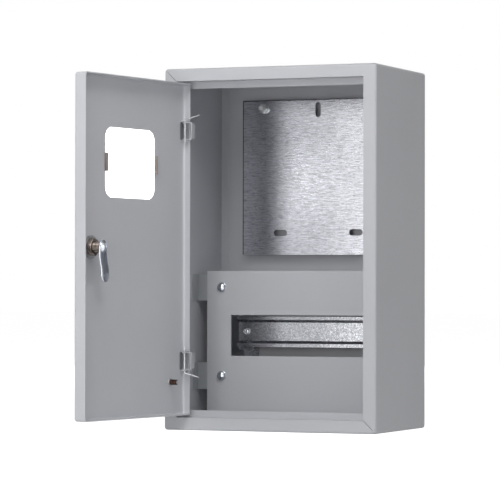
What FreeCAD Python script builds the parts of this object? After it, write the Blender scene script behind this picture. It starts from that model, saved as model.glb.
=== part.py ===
import FreeCAD, Part
import math
import os
import types

import Sketcher

# Electric meter box: a folded steel cabinet with an inset door, a meter plate and a breaker cover.
# Millimetres. X runs right, Y runs into the wall, Z runs up; the origin is the centre of the back face.

DIMENSIONS = {
    # cabinet
    "cabinet_w": 250.0, "cabinet_h": 400.0, "cabinet_d": 160.0, "sheet": 1.0, "back_sheet": 1.0,
    "corner_r": 3.5, "front_r": 2.5, "frame_side": 15.0, "frame_end": 14.0, "return_d": 16.5,
    "lip_w": 7.7, "lip_end_gap": 0.6, "lip_cut": 2.0, "rear_flange": 9.0, "seam_gap": 0.2,
    "mitre_gap": 0.8, "back_inset": 1.0,
    "wall_pitch_x": 150.0, "wall_pitch_z": 300.0, "wall_hole_d": 8.0,
    "knockout_d": 28.0, "knockout_groove": 1.0, "knockout_depth": 0.4, "knockout_pitch": 90.0,
    "knockout_from_wall": 75.0,
    # door and its hinges
    "door_gap_side": 2.0, "door_gap_end": 3.0, "door_d": 14.5, "hinge_flange_d": 8.8, "door_r": 3.0,
    "hinge_notch": 8.0, "hinge_in": 5.5, "hinge_back": 5.0, "door_open": 98.0,
    "hinge_from_head": 52.0, "hinge_from_foot": 59.5, "ear_span": 22.8, "ear_sheet": 1.2,
    "ear_past_pin": 3.3, "ear_inset": 1.5, "ear_rim": 1.0, "ear_r": 1.65, "door_bend_r": 2.8,
    "bracket_span": 19.6, "neck_h": 16.7, "bracket_sheet": 1.2, "bracket_swing": 7.8, "bracket_ear_r": 2.8,
    "bracket_bend": 3.0, "bracket_nose": 1.96, "bracket_tab": 1.12, "bracket_r": 1.9,
    "pin_d": 2.2, "pin_fit": 0.05, "pin_above": 2.0, "pin_below": 5.2, "pin_bend_r": 2.2,
    "pin_end_d": 3.2, "pin_end_len": 4.0, "tail_len": 15.5, "tail_rise": 14.0,
    # door window
    "window_w": 98.0, "window_h": 75.0, "window_r": 12.0, "window_from_hinge": 110.0,
    "window_from_head": 92.0, "pane_fit": 0.3, "pane_flange": 3.0, "pane_flange_t": 1.2, "pane_t": 2.0,
    "lug_span": 20.0, "lug_depth": 3.6, "lug_t": 1.6, "lug_hook": 1.2,
    # lock
    "lock_from_edge": 29.0, "lock_body_d": 11.0, "lock_hole_fit": 0.2, "bezel_d": 22.0,
    "bezel_t": 3.0, "bezel_edge_r": 1.0, "lock_washer_d": 25.0, "lock_washer_t": 1.6, "lock_nut_af": 14.0,
    "lock_nut_t": 4.0, "cam_gap": 0.3,
    "plug_d": 8.0, "plug_fit": 0.05, "cam_from_face": 16.3, "cam_t": 1.6, "cam_w": 14.5, "cam_len": 37.0,
    "cam_crank": 2.6, "cam_crank_at": 7.0, "cam_crank_run": 20.0, "plug_square": 5.4, "square_fit": 0.1,
    "cam_screw_d": 11.6, "cam_screw_t": 2.2, "cam_screw_round": 2.0, "key_slot_w": 1.2, "key_slot_h": 5.4,
    "key_slot_d": 2.0,
    # earth studs
    "earth_stud_d": 6.0, "earth_stud_len": 10.0, "earth_collar_d": 8.0, "earth_collar_t": 0.8,
    "door_stud_from_hinge": 29.3, "door_stud_from_foot": 36.5, "cabinet_stud_x": 62.0,
    "cabinet_stud_from_foot": 40.0,
    # meter plate
    "plate_w": 186.0, "plate_h": 178.0, "plate_t": 1.2, "plate_front": 12.0, "plate_from_head": 26.7,
    "plate_r": 1.5, "plate_stud_in": 26.3, "plate_stud_down": 9.5, "plate_stud_d": 6.0, "stud_hole_fit": 0.3,
    "upper_slot_w": 6.8, "upper_slot_h": 17.0, "upper_slot_down": 12.1, "lower_slot_w": 16.4,
    "lower_slot_h": 7.2, "lower_slot_down": 152.6, "lower_slot_pitch": 92.4, "stud_past_nut": 3.0,
    "spacer_d": 10.0, "plate_washer_d": 12.0, "plate_washer_t": 1.4, "plate_nut_af": 10.0, "plate_nut_t": 5.0,
    # breaker cover
    "cover_w": 222.6, "cover_front": 72.0, "cover_t": 1.0, "cover_h": 166.6, "cover_from_foot": 10.0,
    "cover_fold": 12.0, "cover_window_w": 163.6, "cover_window_h": 46.2, "cover_window_up": 93.7,
    "cover_screw_x": 93.4, "cover_screw_upper_up": 148.1, "cover_screw_lower_up": 47.9,
    "cover_hole_fit": 0.25, "cover_bracket_h": 30.0, "cover_bracket_t": 1.2, "cover_bracket_leg": 15.0,
    "cover_bracket_past": 8.0, "cover_screw_d": 4.0, "cover_head_d": 10.6, "cover_head_t": 3.6,
    "cover_head_round": 3.2, "cover_nut_af": 7.0, "cover_nut_t": 3.2, "recess_w": 1.1, "recess_l": 5.2,
    "recess_d": 1.6,
    # breaker rail
    "rail_h": 35.0, "rail_d": 7.5, "rail_t": 1.0, "rail_len": 188.0, "rail_front": 26.0,
    "rail_from_foot": 107.5,
    "rail_mouth": 27.2, "rail_floor": 21.0, "rail_screw_in": 8.6, "rail_bracket_w": 19.0,
    "rail_bracket_h": 42.0, "rail_bracket_foot": 13.0, "rail_bracket_t": 1.5, "rail_screw_d": 5.0,
    "rail_head_d": 9.4, "rail_head_t": 3.0, "rail_head_round": 2.4, "rail_nut_af": 8.0, "rail_nut_t": 4.0,
    "rail_hole_fit": 0.25,
    # neutral bar behind the cover
    "bar_len": 90.0, "bar_h": 9.0, "bar_t": 6.5, "bar_from_foot": 50.0, "bar_x": -20.0, "post_h": 14.0,
    "post_w": 14.0, "post_d": 12.0, "terminal_pitch": 11.0, "terminal_d": 5.0, "terminal_t": 2.0,
    "terminal_sink": 3.0, "terminal_fit": 0.2,
}


# Sizes that carry their spreadsheet formula

class Size:
    """A number together with the spreadsheet formula that it comes from."""

    def __init__(self, value, formula):
        self.value = value
        self.formula = formula

    def __add__(self, other):
        other = as_size(other)
        return Size(self.value + other.value, f"({self.formula} + {other.formula})")

    def __sub__(self, other):
        other = as_size(other)
        return Size(self.value - other.value, f"({self.formula} - {other.formula})")

    def __mul__(self, other):
        other = as_size(other)
        return Size(self.value * other.value, f"({self.formula} * {other.formula})")

    def __truediv__(self, other):
        other = as_size(other)
        return Size(self.value / other.value, f"({self.formula} / {other.formula})")

    def __neg__(self):
        return self * -1.0


def as_size(value):
    return value if isinstance(value, Size) else Size(float(value), f"({float(value)!r})")


ZERO = as_size(0.0)


def make_sheet(doc):
    """The spreadsheet of driving dimensions, and a namespace of sizes bound to its cells."""
    sheet = doc.addObject("Spreadsheet::Sheet", "dims")
    for row, (alias, value) in enumerate(DIMENSIONS.items(), start=1):
        sheet.set(f"A{row}", alias)
        sheet.set(f"B{row}", repr(value))
        sheet.setAlias(f"B{row}", alias)
    doc.recompute()
    return types.SimpleNamespace(**{a: Size(v, f"dims.{a}") for a, v in DIMENSIONS.items()})


doc = FreeCAD.newDocument("meter_box")
d = make_sheet(doc)

# Places that several pieces share
half_w = d.cabinet_w / 2
half_h = d.cabinet_h / 2
open_x = half_w - d.frame_side
open_z = half_h - d.frame_end
hinge_x = -open_x + d.door_gap_side + d.hinge_in
hinge_y = d.hinge_back - d.cabinet_d
door_w = open_x * 2 - d.door_gap_side * 2
door_half_h = open_z - d.door_gap_end
door_left = -d.hinge_in
door_right = door_w - d.hinge_in
outer_face = d.hinge_back
inner_face = d.hinge_back - d.sheet
lock_x = door_right - d.lock_from_edge
lock_z = ZERO
window_x = d.window_from_hinge - d.hinge_in
window_z = door_half_h - d.window_from_head
upper_hinge_z = door_half_h - d.hinge_from_head
lower_hinge_z = d.hinge_from_foot - door_half_h
door_stud_z = d.door_stud_from_foot - door_half_h
plate_top = half_h - d.plate_from_head
plate_stud_z = plate_top - d.plate_stud_down
plate_stud_x = d.plate_w / 2 - d.plate_stud_in
cover_foot = d.cover_from_foot - half_h
cover_top = cover_foot + d.cover_h
cover_back = d.cover_front - d.cover_t
upper_screw_z = cover_foot + d.cover_screw_upper_up
lower_screw_z = cover_foot + d.cover_screw_lower_up
rail_z = d.rail_from_foot - half_h
rail_back = d.rail_front - d.rail_d
bar_z = d.bar_from_foot - half_h
cabinet_stud_z = d.cabinet_stud_from_foot - half_h
FRONT = "XZ_Plane"
SIDE = "YZ_Plane"
TOP = "XY_Plane"


# Document helpers

def bind(obj, prop, value):
    """Sets a property from a size and ties it to the spreadsheet."""
    obj.setExpression(prop, as_size(value).formula)


def new_body(label):
    return doc.addObject("PartDesign::Body", label)


def new_sketch(body, plane, offset):
    """A sketch on one of the body's own planes, moved along that plane's normal."""
    sketch = body.newObject("Sketcher::SketchObject", f"{body.Name}_sketch")
    plane_object = [f for f in body.Origin.OriginFeatures if f.Role == plane][0]
    sketch.AttachmentSupport = [(plane_object, "")]
    sketch.MapMode = "FlatFace"
    bind(sketch, "AttachmentOffset.Base.z", offset)
    return sketch


def dimension(sketch, kind, refs, value):
    value = as_size(value)
    index = sketch.addConstraint(Sketcher.Constraint(kind, *refs, value.value))
    sketch.setExpression(f"Constraints[{index}]", value.formula)


def pin_point(sketch, geometry, end, x, y):
    """Holds one end of a sketch line at x, y from the sketch origin."""
    for kind, axis, value in (("DistanceX", -2, x), ("DistanceY", -1, y)):
        if as_size(value).value == 0.0:
            sketch.addConstraint(Sketcher.Constraint("PointOnObject", geometry, end, axis))
        else:
            dimension(sketch, kind, (-1, 1, geometry, end), value)


def polygon(sketch, points):
    """A closed outline of straight lines through the given points."""
    points = [(as_size(x), as_size(y)) for x, y in points]
    vectors = [FreeCAD.Vector(x.value, y.value, 0) for x, y in points]
    first = sketch.GeometryCount
    count = len(points)
    for i in range(count):
        sketch.addGeometry(Part.LineSegment(vectors[i], vectors[(i + 1) % count]), False)
    for i in range(count):
        sketch.addConstraint(Sketcher.Constraint("Coincident", first + i, 2, first + (i + 1) % count, 1))
    for i, (x, y) in enumerate(points):
        pin_point(sketch, first + i, 1, x, y)


def rectangle(sketch, x0, x1, y0, y1):
    polygon(sketch, [(x0, y0), (x1, y0), (x1, y1), (x0, y1)])


def rounded_rectangle(sketch, x0, x1, y0, y1, radius):
    """A rectangle whose four corners are arcs of one radius."""
    x0, x1, y0, y1, radius = (as_size(v) for v in (x0, x1, y0, y1, radius))
    a, b, c, e, r = x0.value, x1.value, y0.value, y1.value, radius.value
    first = sketch.GeometryCount
    lines = [
        ((a + r, c), (b - r, c)), ((b, c + r), (b, e - r)),
        ((b - r, e), (a + r, e)), ((a, e - r), (a, c + r)),
    ]
    centres = [(b - r, c + r), (b - r, e - r), (a + r, e - r), (a + r, c + r)]
    for i in range(4):
        start, end = lines[i]
        sketch.addGeometry(Part.LineSegment(FreeCAD.Vector(*start, 0), FreeCAD.Vector(*end, 0)), False)
        circle = Part.Circle(FreeCAD.Vector(*centres[i], 0), FreeCAD.Vector(0, 0, 1), r)
        turn = math.radians(90.0 * i - 90.0)
        sketch.addGeometry(Part.ArcOfCircle(circle, turn, turn + math.radians(90.0)), False)
    for i in range(4):
        line, arc, following = first + 2 * i, first + 2 * i + 1, first + (2 * i + 2) % 8
        sketch.addConstraint(Sketcher.Constraint("Tangent", line, 2, arc, 1))
        sketch.addConstraint(Sketcher.Constraint("Tangent", arc, 2, following, 1))
        sketch.addConstraint(Sketcher.Constraint("Horizontal" if i % 2 == 0 else "Vertical", line))
        if i:
            sketch.addConstraint(Sketcher.Constraint("Equal", first + 1, arc))
    dimension(sketch, "Radius", (first + 1,), radius)
    edges = (("DistanceY", 0, y0), ("DistanceX", 2, x1), ("DistanceY", 4, y1), ("DistanceX", 6, x0))
    for kind, line, value in edges:
        dimension(sketch, kind, (-1, 1, first + line, 1), value)


def circle(sketch, x, y, diameter):
    x, y, diameter = as_size(x), as_size(y), as_size(diameter)
    centre = FreeCAD.Vector(x.value, y.value, 0)
    index = sketch.addGeometry(Part.Circle(centre, FreeCAD.Vector(0, 0, 1), diameter.value / 2), False)
    dimension(sketch, "Diameter", (index,), diameter)
    pin_point(sketch, index, 3, x, y)


def hexagon(sketch, x, y, across_flats):
    """A hexagon with two corners above and below its centre."""
    x, y, across_flats = as_size(x), as_size(y), as_size(across_flats)
    corner = across_flats / math.sqrt(3.0)
    flat = across_flats / 2
    polygon(sketch, [
        (x, y + corner), (x + flat, y + corner / 2), (x + flat, y - corner / 2),
        (x, y - corner), (x - flat, y - corner / 2), (x - flat, y + corner / 2),
    ])


def slot(sketch, x0, y0, x1, y1, radius):
    """An outline with half-round ends about two centres, level with or above each other."""
    x0, y0, x1, y1, radius = (as_size(v) for v in (x0, y0, x1, y1, radius))
    first = sketch.GeometryCount
    ends = [FreeCAD.Vector(x0.value, y0.value, 0), FreeCAD.Vector(x1.value, y1.value, 0)]
    along = math.atan2(y1.value - y0.value, x1.value - x0.value)
    for i in (0, 1):
        side = along - math.radians(90.0 - 180.0 * i)
        offset = FreeCAD.Vector(math.cos(side), math.sin(side), 0) * radius.value
        sketch.addGeometry(Part.LineSegment(ends[i] + offset, ends[1 - i] + offset), False)
        round_end = Part.Circle(ends[1 - i], FreeCAD.Vector(0, 0, 1), radius.value)
        sketch.addGeometry(Part.ArcOfCircle(round_end, side, side + math.radians(180.0)), False)
    for i in range(4):
        sketch.addConstraint(Sketcher.Constraint("Tangent", first + i, 2, first + (i + 1) % 4, 1))
    sketch.addConstraint(Sketcher.Constraint("Equal", first + 1, first + 3))
    dimension(sketch, "Radius", (first + 1,), radius)
    pin_point(sketch, first + 3, 3, x0, y0)
    pin_point(sketch, first + 1, 3, x1, y1)


def upright_slot(sketch, x, y, width, height):
    reach = (as_size(height) - width) / 2
    slot(sketch, x, y - reach, x, y + reach, width / 2)


def level_slot(sketch, x, y, width, height):
    reach = (as_size(width) - height) / 2
    slot(sketch, x - reach, y, x + reach, y, height / 2)


def pad(body, sketch, length):
    feature = body.newObject("PartDesign::Pad", f"{body.Name}_pad")
    feature.Profile = sketch
    bind(feature, "Length", length)
    sketch.Visibility = False
    doc.recompute()
    return feature


def pocket(body, sketch, length):
    """Cuts along the sketch normal."""
    feature = body.newObject("PartDesign::Pocket", f"{body.Name}_pocket")
    feature.Profile = sketch
    feature.Reversed = True
    bind(feature, "Length", length)
    sketch.Visibility = False
    doc.recompute()
    return feature


def round_edges(body, radius, wanted):
    """Fillets the edges of the body whose every vertex passes the test."""
    tip = body.Tip
    names = [
        f"Edge{i}" for i, edge in enumerate(tip.Shape.Edges, start=1)
        if all(wanted(v.Point) for v in edge.Vertexes)
    ]
    feature = body.newObject("PartDesign::Fillet", f"{body.Name}_fillet")
    feature.Base = (tip, names)
    bind(feature, "Radius", radius)
    doc.recompute()
    return feature


def near(value, target):
    return abs(value - as_size(target).value) < 1e-4


def place(body, x=ZERO, y=ZERO, z=ZERO):
    """Sets a body down at a point of the cabinet."""
    for axis, value in (("x", x), ("y", y), ("z", z)):
        bind(body, f"Placement.Base.{axis}", value)


def hang_on_door(obj):
    """Sets a piece, drawn for the shut door from the hinge axis, on the open door."""
    obj.Placement = FreeCAD.Placement(
        FreeCAD.Vector(hinge_x.value, hinge_y.value, 0),
        FreeCAD.Rotation(FreeCAD.Vector(0, 0, -1), d.door_open.value),
    )
    bind(obj, "Placement.Base.x", hinge_x)
    bind(obj, "Placement.Base.y", hinge_y)
    bind(obj, "Placement.Rotation.Angle", d.door_open)


pieces = []


def keep(obj, label):
    """Lists a finished piece for export under its own name."""
    obj.Label = label
    pieces.append(obj)
    return obj


# Cabinet

def cabinet_wrap():
    """The whole folded wrap: sides, front frame with its return and stop lips, rear flange."""
    body = new_body("wrap")
    outer = new_sketch(body, FRONT, d.back_sheet)
    rounded_rectangle(outer, -half_w, half_w, -half_h, half_h, d.corner_r)
    pad(body, outer, d.cabinet_d - d.back_sheet)
    round_edges(body, d.front_r, lambda p: near(p.y, -d.cabinet_d))

    rear = new_sketch(body, FRONT, d.back_sheet)
    inset = d.sheet + d.rear_flange
    rectangle(rear, -half_w + inset, half_w - inset, -half_h + inset, half_h - inset)
    pocket(body, rear, d.sheet)

    room = new_sketch(body, FRONT, d.back_sheet + d.sheet)
    side, end = half_w - d.sheet, half_h - d.sheet
    rounded_rectangle(room, -side, side, -end, end, d.corner_r - d.sheet)
    pocket(body, room, d.cabinet_d - d.back_sheet - d.sheet * 2)
    round_edges(body, d.front_r - d.sheet, lambda p: near(p.y, d.sheet - d.cabinet_d))

    opening = new_sketch(body, FRONT, d.cabinet_d - d.sheet)
    rectangle(opening, -open_x, open_x, -open_z, open_z)
    pocket(body, opening, d.sheet)
    add_frame_return(body)
    add_stop_lips(body)
    add_mitre_gaps(body)
    add_knockouts(body)
    return body


def add_frame_return(body):
    frame = new_sketch(body, FRONT, d.cabinet_d - d.return_d)
    rectangle(frame, -open_x - d.sheet, open_x + d.sheet, -open_z - d.sheet, open_z + d.sheet)
    rectangle(frame, -open_x, open_x, -open_z, open_z)
    pad(body, frame, d.return_d - d.sheet / 2)


def add_stop_lips(body):
    """The recessed lips that the shut door meets: top and bottom with one clipped end, and the hinge side."""
    left, right = d.lip_end_gap - open_x, open_x - d.lip_end_gap
    for sign in (1, -1):
        root, rim = (open_z + d.sheet / 2) * sign, (open_z - d.lip_w) * sign
        lip = new_sketch(body, FRONT, d.cabinet_d - d.return_d)
        polygon(lip, [
            (left, root), (left, rim), (right - d.lip_cut, rim),
            (right, rim + d.lip_cut * sign), (right, root),
        ])
        pad(body, lip, d.sheet)
    lip = new_sketch(body, FRONT, d.cabinet_d - d.return_d)
    rectangle(lip, -open_x - d.sheet / 2, d.lip_w - open_x, -open_z + d.lip_w * 2, open_z - d.lip_w * 2)
    pad(body, lip, d.sheet)


def add_mitre_gaps(body):
    """The narrow open joints across the front frame at the two seamed corners."""
    half_gap = d.mitre_gap / 4
    inner, outer = d.frame_side + d.mitre_gap, d.corner_r
    for sign in (1, -1):
        gap = new_sketch(body, FRONT, d.cabinet_d - d.sheet)
        polygon(gap, [
            ((half_w - inner + half_gap) * sign, (inner + half_gap - half_h) * sign),
            ((half_w - inner - half_gap) * sign, (inner - half_gap - half_h) * sign),
            ((half_w - outer - half_gap) * sign, (outer - half_gap - half_h) * sign),
            ((half_w - outer + half_gap) * sign, (outer + half_gap - half_h) * sign),
        ])
        pocket(body, gap, d.sheet * 2)


def add_knockouts(body):
    """Scored rings in the top and bottom that open as cable entries."""
    for level in (half_h - d.knockout_depth, -half_h):
        for side in (-1, 1):
            ring = new_sketch(body, TOP, level)
            x = d.knockout_pitch / 2 * side
            circle(ring, x, -d.knockout_from_wall, d.knockout_d)
            circle(ring, x, -d.knockout_from_wall, d.knockout_d - d.knockout_groove * 2)
            pocket(body, ring, d.knockout_depth)


def seam_block(name, shift):
    """A block over the top and right of the cabinet, bounded by the two mitred corner seams."""
    body = new_body(name)
    margin, reach = d.frame_side, d.frame_side * 3
    outline = new_sketch(body, FRONT, -margin)
    slack = d.lip_end_gap / 2
    seam = [
        (half_w + margin, -half_h - margin), (open_x - slack, d.frame_side + slack - half_h),
        (open_x - slack, d.lip_w + slack - open_z), (half_w - reach, reach - half_h),
    ]
    polygon(outline, [(shift - x, -z) for x, z in seam] + [(x + shift, z) for x, z in reversed(seam)] + [
        (half_w + margin * 2, -half_h - margin), (half_w + margin * 2, half_h + margin),
    ])
    pad(body, outline, d.cabinet_d + margin * 2)
    return body


def cabinet_shells():
    """The wrap is two L-shaped sheets that meet at the top left and bottom right corners."""
    wrap = cabinet_wrap()
    upper = doc.addObject("Part::Common", "wrap_upper")
    upper.Base = wrap
    upper.Tool = seam_block("seam_upper", d.seam_gap / 2)
    lower = doc.addObject("Part::Cut", "wrap_lower")
    lower.Base = wrap
    lower.Tool = seam_block("seam_lower", -d.seam_gap / 2)
    doc.recompute()
    keep(upper, "shell_top_right")
    keep(lower, "shell_left_bottom")


def back_panel():
    body = new_body("back")
    outline = new_sketch(body, FRONT, 0)
    side, end = half_w - d.back_inset, half_h - d.back_inset
    rounded_rectangle(outline, -side, side, -end, end, d.corner_r)
    for sx in (-1, 1):
        for sz in (-1, 1):
            circle(outline, d.wall_pitch_x / 2 * sx, d.wall_pitch_z / 2 * sz, d.wall_hole_d)
    pad(body, outline, d.back_sheet)
    keep(body, "back_panel")


# Hinges

def hinge_bracket(label, z):
    """A goose-neck on the hinge side's stop lip, whose two ears reach round the door flange to the pin."""
    body = new_body(label)
    foot_front = d.cabinet_d - d.hinge_back - (d.cabinet_d - d.return_d) - d.sheet - d.bracket_sheet
    inside = d.bracket_swing
    outside = inside + d.bracket_sheet
    foot_end = -d.hinge_in - d.door_gap_side
    neck = new_sketch(body, TOP, -d.neck_h / 2)
    bend = d.bracket_bend
    foot_back = foot_front + d.bracket_sheet
    polygon(neck, [
        (foot_end, foot_front), (inside - bend, foot_front), (inside, foot_front - bend),
        (inside, -d.bracket_nose), (outside, -d.bracket_nose),
        (outside, foot_back - bend - d.bracket_sheet / 2), (outside - bend - d.bracket_sheet / 2, foot_back),
        (foot_end, foot_back),
    ])
    pad(body, neck, d.neck_h)

    end, deep = d.bracket_span / 2, d.bracket_tab + d.bracket_nose
    band = new_sketch(body, FRONT, -d.bracket_tab)
    rounded_rectangle(band, -outside, outside, -end, end, d.bracket_r)
    rounded_rectangle(band, -inside, inside, d.bracket_sheet - end, end - d.bracket_sheet,
                      d.bracket_r - d.bracket_sheet)
    pad(body, band, deep)
    far_half = new_sketch(body, FRONT, -d.bracket_tab)
    rectangle(far_half, -outside * 2, 0, -end * 2, end * 2)
    pocket(body, far_half, deep)
    for level in (-end, end - d.bracket_sheet):
        eye = new_sketch(body, TOP, level)
        circle(eye, 0, 0, d.bracket_ear_r * 2)
        pad(body, eye, d.bracket_sheet)
    hole = new_sketch(body, TOP, -d.bracket_span)
    circle(hole, 0, 0, d.pin_d + d.pin_fit * 2)
    pocket(body, hole, d.bracket_span * 2)
    place(body, hinge_x, hinge_y, z)
    keep(body, label)


def hinge_pin(label, z, flipped):
    """A wire pin with a bent tail above and a swaged end below."""
    body = new_body(label)
    foot = -d.ear_span / 2 - d.pin_below
    head = d.ear_span / 2 + d.pin_above
    end = new_sketch(body, TOP, foot)
    circle(end, 0, 0, d.pin_d)
    route = new_sketch(body, FRONT, 0)
    turn = math.radians(90.0 - d.tail_rise.value)
    r = d.pin_bend_r.value
    rise = math.radians(d.tail_rise.value)
    bend_end = FreeCAD.Vector(r - r * math.cos(turn), head.value + r * math.sin(turn), 0)
    tip = bend_end + FreeCAD.Vector(math.cos(rise), math.sin(rise), 0) * d.tail_len.value
    bend = Part.Circle(FreeCAD.Vector(r, head.value, 0), FreeCAD.Vector(0, 0, 1), r)
    start, top = FreeCAD.Vector(0, foot.value, 0), FreeCAD.Vector(0, head.value, 0)
    route.addGeometry(Part.LineSegment(start, top), False)
    route.addGeometry(Part.ArcOfCircle(bend, math.pi - turn, math.pi), False)
    route.addGeometry(Part.LineSegment(bend_end, tip), False)
    route.addConstraint(Sketcher.Constraint("Tangent", 0, 2, 1, 2))
    route.addConstraint(Sketcher.Constraint("Tangent", 1, 1, 2, 1))
    pin_point(route, 0, 1, 0, foot)
    pin_point(route, 0, 2, 0, head)
    dimension(route, "Radius", (1,), d.pin_bend_r)
    dimension(route, "Distance", (2,), d.tail_len)
    index = route.addConstraint(Sketcher.Constraint("Angle", 2, rise))
    route.setExpression(f"Constraints[{index}]", "dims.tail_rise * 1 deg")
    doc.recompute()
    wire = body.newObject("PartDesign::AdditivePipe", f"{label}_wire")
    wire.Profile = end
    wire.Spine = (route, ["Edge1", "Edge2", "Edge3"])
    doc.recompute()
    swage = new_sketch(body, TOP, foot)
    circle(swage, 0, 0, d.pin_end_d)
    pad(body, swage, d.pin_end_len)
    if flipped:
        body.Placement = FreeCAD.Placement(FreeCAD.Vector(), FreeCAD.Rotation(FreeCAD.Vector(1, 0, 0), 180))
    place(body, hinge_x, hinge_y, z)
    keep(body, label)


# Door

def door_panel():
    """The door is one folded tray with lanced hinge ears, a window and a lock hole."""
    body = new_body("door")
    tray = new_sketch(body, FRONT, outer_face - d.door_d)
    rounded_rectangle(tray, door_left, door_right, -door_half_h, door_half_h, d.door_r)
    pad(body, tray, d.door_d)
    round_edges(body, d.door_bend_r, lambda p: near(p.y, -outer_face))
    room = new_sketch(body, FRONT, outer_face - d.door_d)
    end = door_half_h - d.sheet
    rounded_rectangle(room, door_left + d.sheet, door_right - d.sheet, -end, end, d.door_r - d.sheet)
    pocket(body, room, d.door_d - d.sheet)
    inner_y = -outer_face + d.sheet
    round_edges(body, d.door_bend_r - d.sheet, lambda p: near(p.y, inner_y))

    notch = new_sketch(body, FRONT, outer_face - d.door_d)
    tall = door_half_h + d.sheet
    rectangle(notch, door_left - d.sheet, door_left + d.hinge_notch, -tall, tall)
    pocket(body, notch, d.door_d - d.hinge_flange_d)
    add_hinge_ears(body, upper_hinge_z)
    add_hinge_ears(body, lower_hinge_z)

    holes = new_sketch(body, FRONT, 0)
    x, z = window_x, window_z
    w, h = d.window_w / 2, d.window_h / 2
    rounded_rectangle(holes, x - w, x + w, z - h, z + h, d.window_r)
    circle(holes, lock_x, lock_z, d.lock_body_d + d.lock_hole_fit * 2)
    pocket(body, holes, outer_face + d.sheet)
    hang_on_door(body)
    keep(body, "door_panel")


def add_hinge_ears(body, z):
    """Two ears lanced out of the hinge flange, with the window that they leave."""
    rim = d.hinge_flange_d - d.hinge_back
    low, high = d.ear_inset - d.hinge_back, rim - d.ear_rim
    window = new_sketch(body, SIDE, door_left - d.sheet)
    half = d.ear_span / 2 - d.ear_sheet
    rectangle(window, low, high, z - half, z + half)
    pocket(body, window, d.sheet + d.door_bend_r)
    for level in (z - d.ear_span / 2, z + half):
        ear = new_sketch(body, TOP, level)
        reach = d.ear_past_pin
        rounded_rectangle(ear, door_left + d.sheet / 4, reach, low, high, d.ear_r)
        circle(ear, 0, 0, d.pin_d + d.pin_fit * 2)
        pad(body, ear, d.ear_sheet)


def window_pane():
    """A clear pane with an outside flange and two snap lugs that grip the door sheet."""
    body = new_body("pane")
    x, z = window_x, window_z
    w, h = d.window_w / 2, d.window_h / 2
    flange = new_sketch(body, FRONT, outer_face)
    over = d.pane_flange
    rounded_rectangle(flange, x - w - over, x + w + over, z - h - over, z + h + over, d.window_r + over)
    pad(body, flange, d.pane_flange_t)
    plug = new_sketch(body, FRONT, outer_face + d.pane_flange_t - d.pane_t)
    fit = d.pane_fit
    rounded_rectangle(plug, x - w + fit, x + w - fit, z - h + fit, z + h - fit, d.window_r - fit)
    pad(body, plug, d.pane_t - d.pane_flange_t)
    for side in (-1, 1):
        edge = x + (w - fit) * side
        lug = new_sketch(body, FRONT, inner_face - d.lug_depth)
        rectangle(lug, edge - d.lug_t * side, edge, z - d.lug_span / 2, z + d.lug_span / 2)
        pad(body, lug, d.lug_depth + d.sheet)
        hook = new_sketch(body, FRONT, inner_face - d.lug_depth)
        rectangle(hook, edge - d.lug_t / 2 * side, edge + (fit + d.lug_hook) * side,
                  z - d.lug_span / 2, z + d.lug_span / 2)
        pad(body, hook, d.lug_depth)
    hang_on_door(body)
    keep(body, "window_pane")


def earth_stud(label, x, z, face):
    """A threaded earth stud with a weld collar at its foot."""
    body = new_body(label)
    collar = new_sketch(body, FRONT, face - d.earth_collar_t)
    circle(collar, x, z, d.earth_collar_d)
    pad(body, collar, d.earth_collar_t)
    shank = new_sketch(body, FRONT, face - d.earth_stud_len)
    circle(shank, x, z, d.earth_stud_d)
    pad(body, shank, d.earth_stud_len)
    return body


def door_earth_stud():
    body = earth_stud("door_stud", d.door_stud_from_hinge - d.hinge_in, door_stud_z, inner_face)
    hang_on_door(body)
    keep(body, "door_earth_stud")


# Lock

def lock_housing():
    """The lock's threaded body with its round bezel outside the door."""
    body = new_body("housing")
    bezel = new_sketch(body, FRONT, outer_face)
    circle(bezel, lock_x, lock_z, d.bezel_d)
    pad(body, bezel, d.bezel_t)
    round_edges(body, d.bezel_edge_r, lambda p: near(p.y, -outer_face - d.bezel_t))
    barrel = new_sketch(body, FRONT, outer_face - d.cam_from_face + d.cam_gap)
    circle(barrel, lock_x, lock_z, d.lock_body_d)
    pad(body, barrel, d.cam_from_face - d.cam_gap)
    bore = new_sketch(body, FRONT, outer_face - d.cam_from_face)
    circle(bore, lock_x, lock_z, d.plug_d + d.plug_fit * 2)
    pocket(body, bore, d.cam_from_face + d.bezel_t * 2)
    hang_on_door(body)
    keep(body, "lock_housing")


def lock_washer():
    body = new_body("washer")
    ring = new_sketch(body, FRONT, inner_face - d.lock_washer_t)
    circle(ring, lock_x, lock_z, d.lock_washer_d)
    circle(ring, lock_x, lock_z, d.lock_body_d + d.lock_hole_fit * 2)
    pad(body, ring, d.lock_washer_t)
    hang_on_door(body)
    keep(body, "lock_washer")


def lock_nut():
    body = new_body("locknut")
    ring = new_sketch(body, FRONT, inner_face - d.lock_washer_t - d.lock_nut_t)
    hexagon(ring, lock_x, lock_z, d.lock_nut_af)
    circle(ring, lock_x, lock_z, d.lock_body_d)
    pad(body, ring, d.lock_nut_t)
    hang_on_door(body)
    keep(body, "lock_nut")


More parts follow.
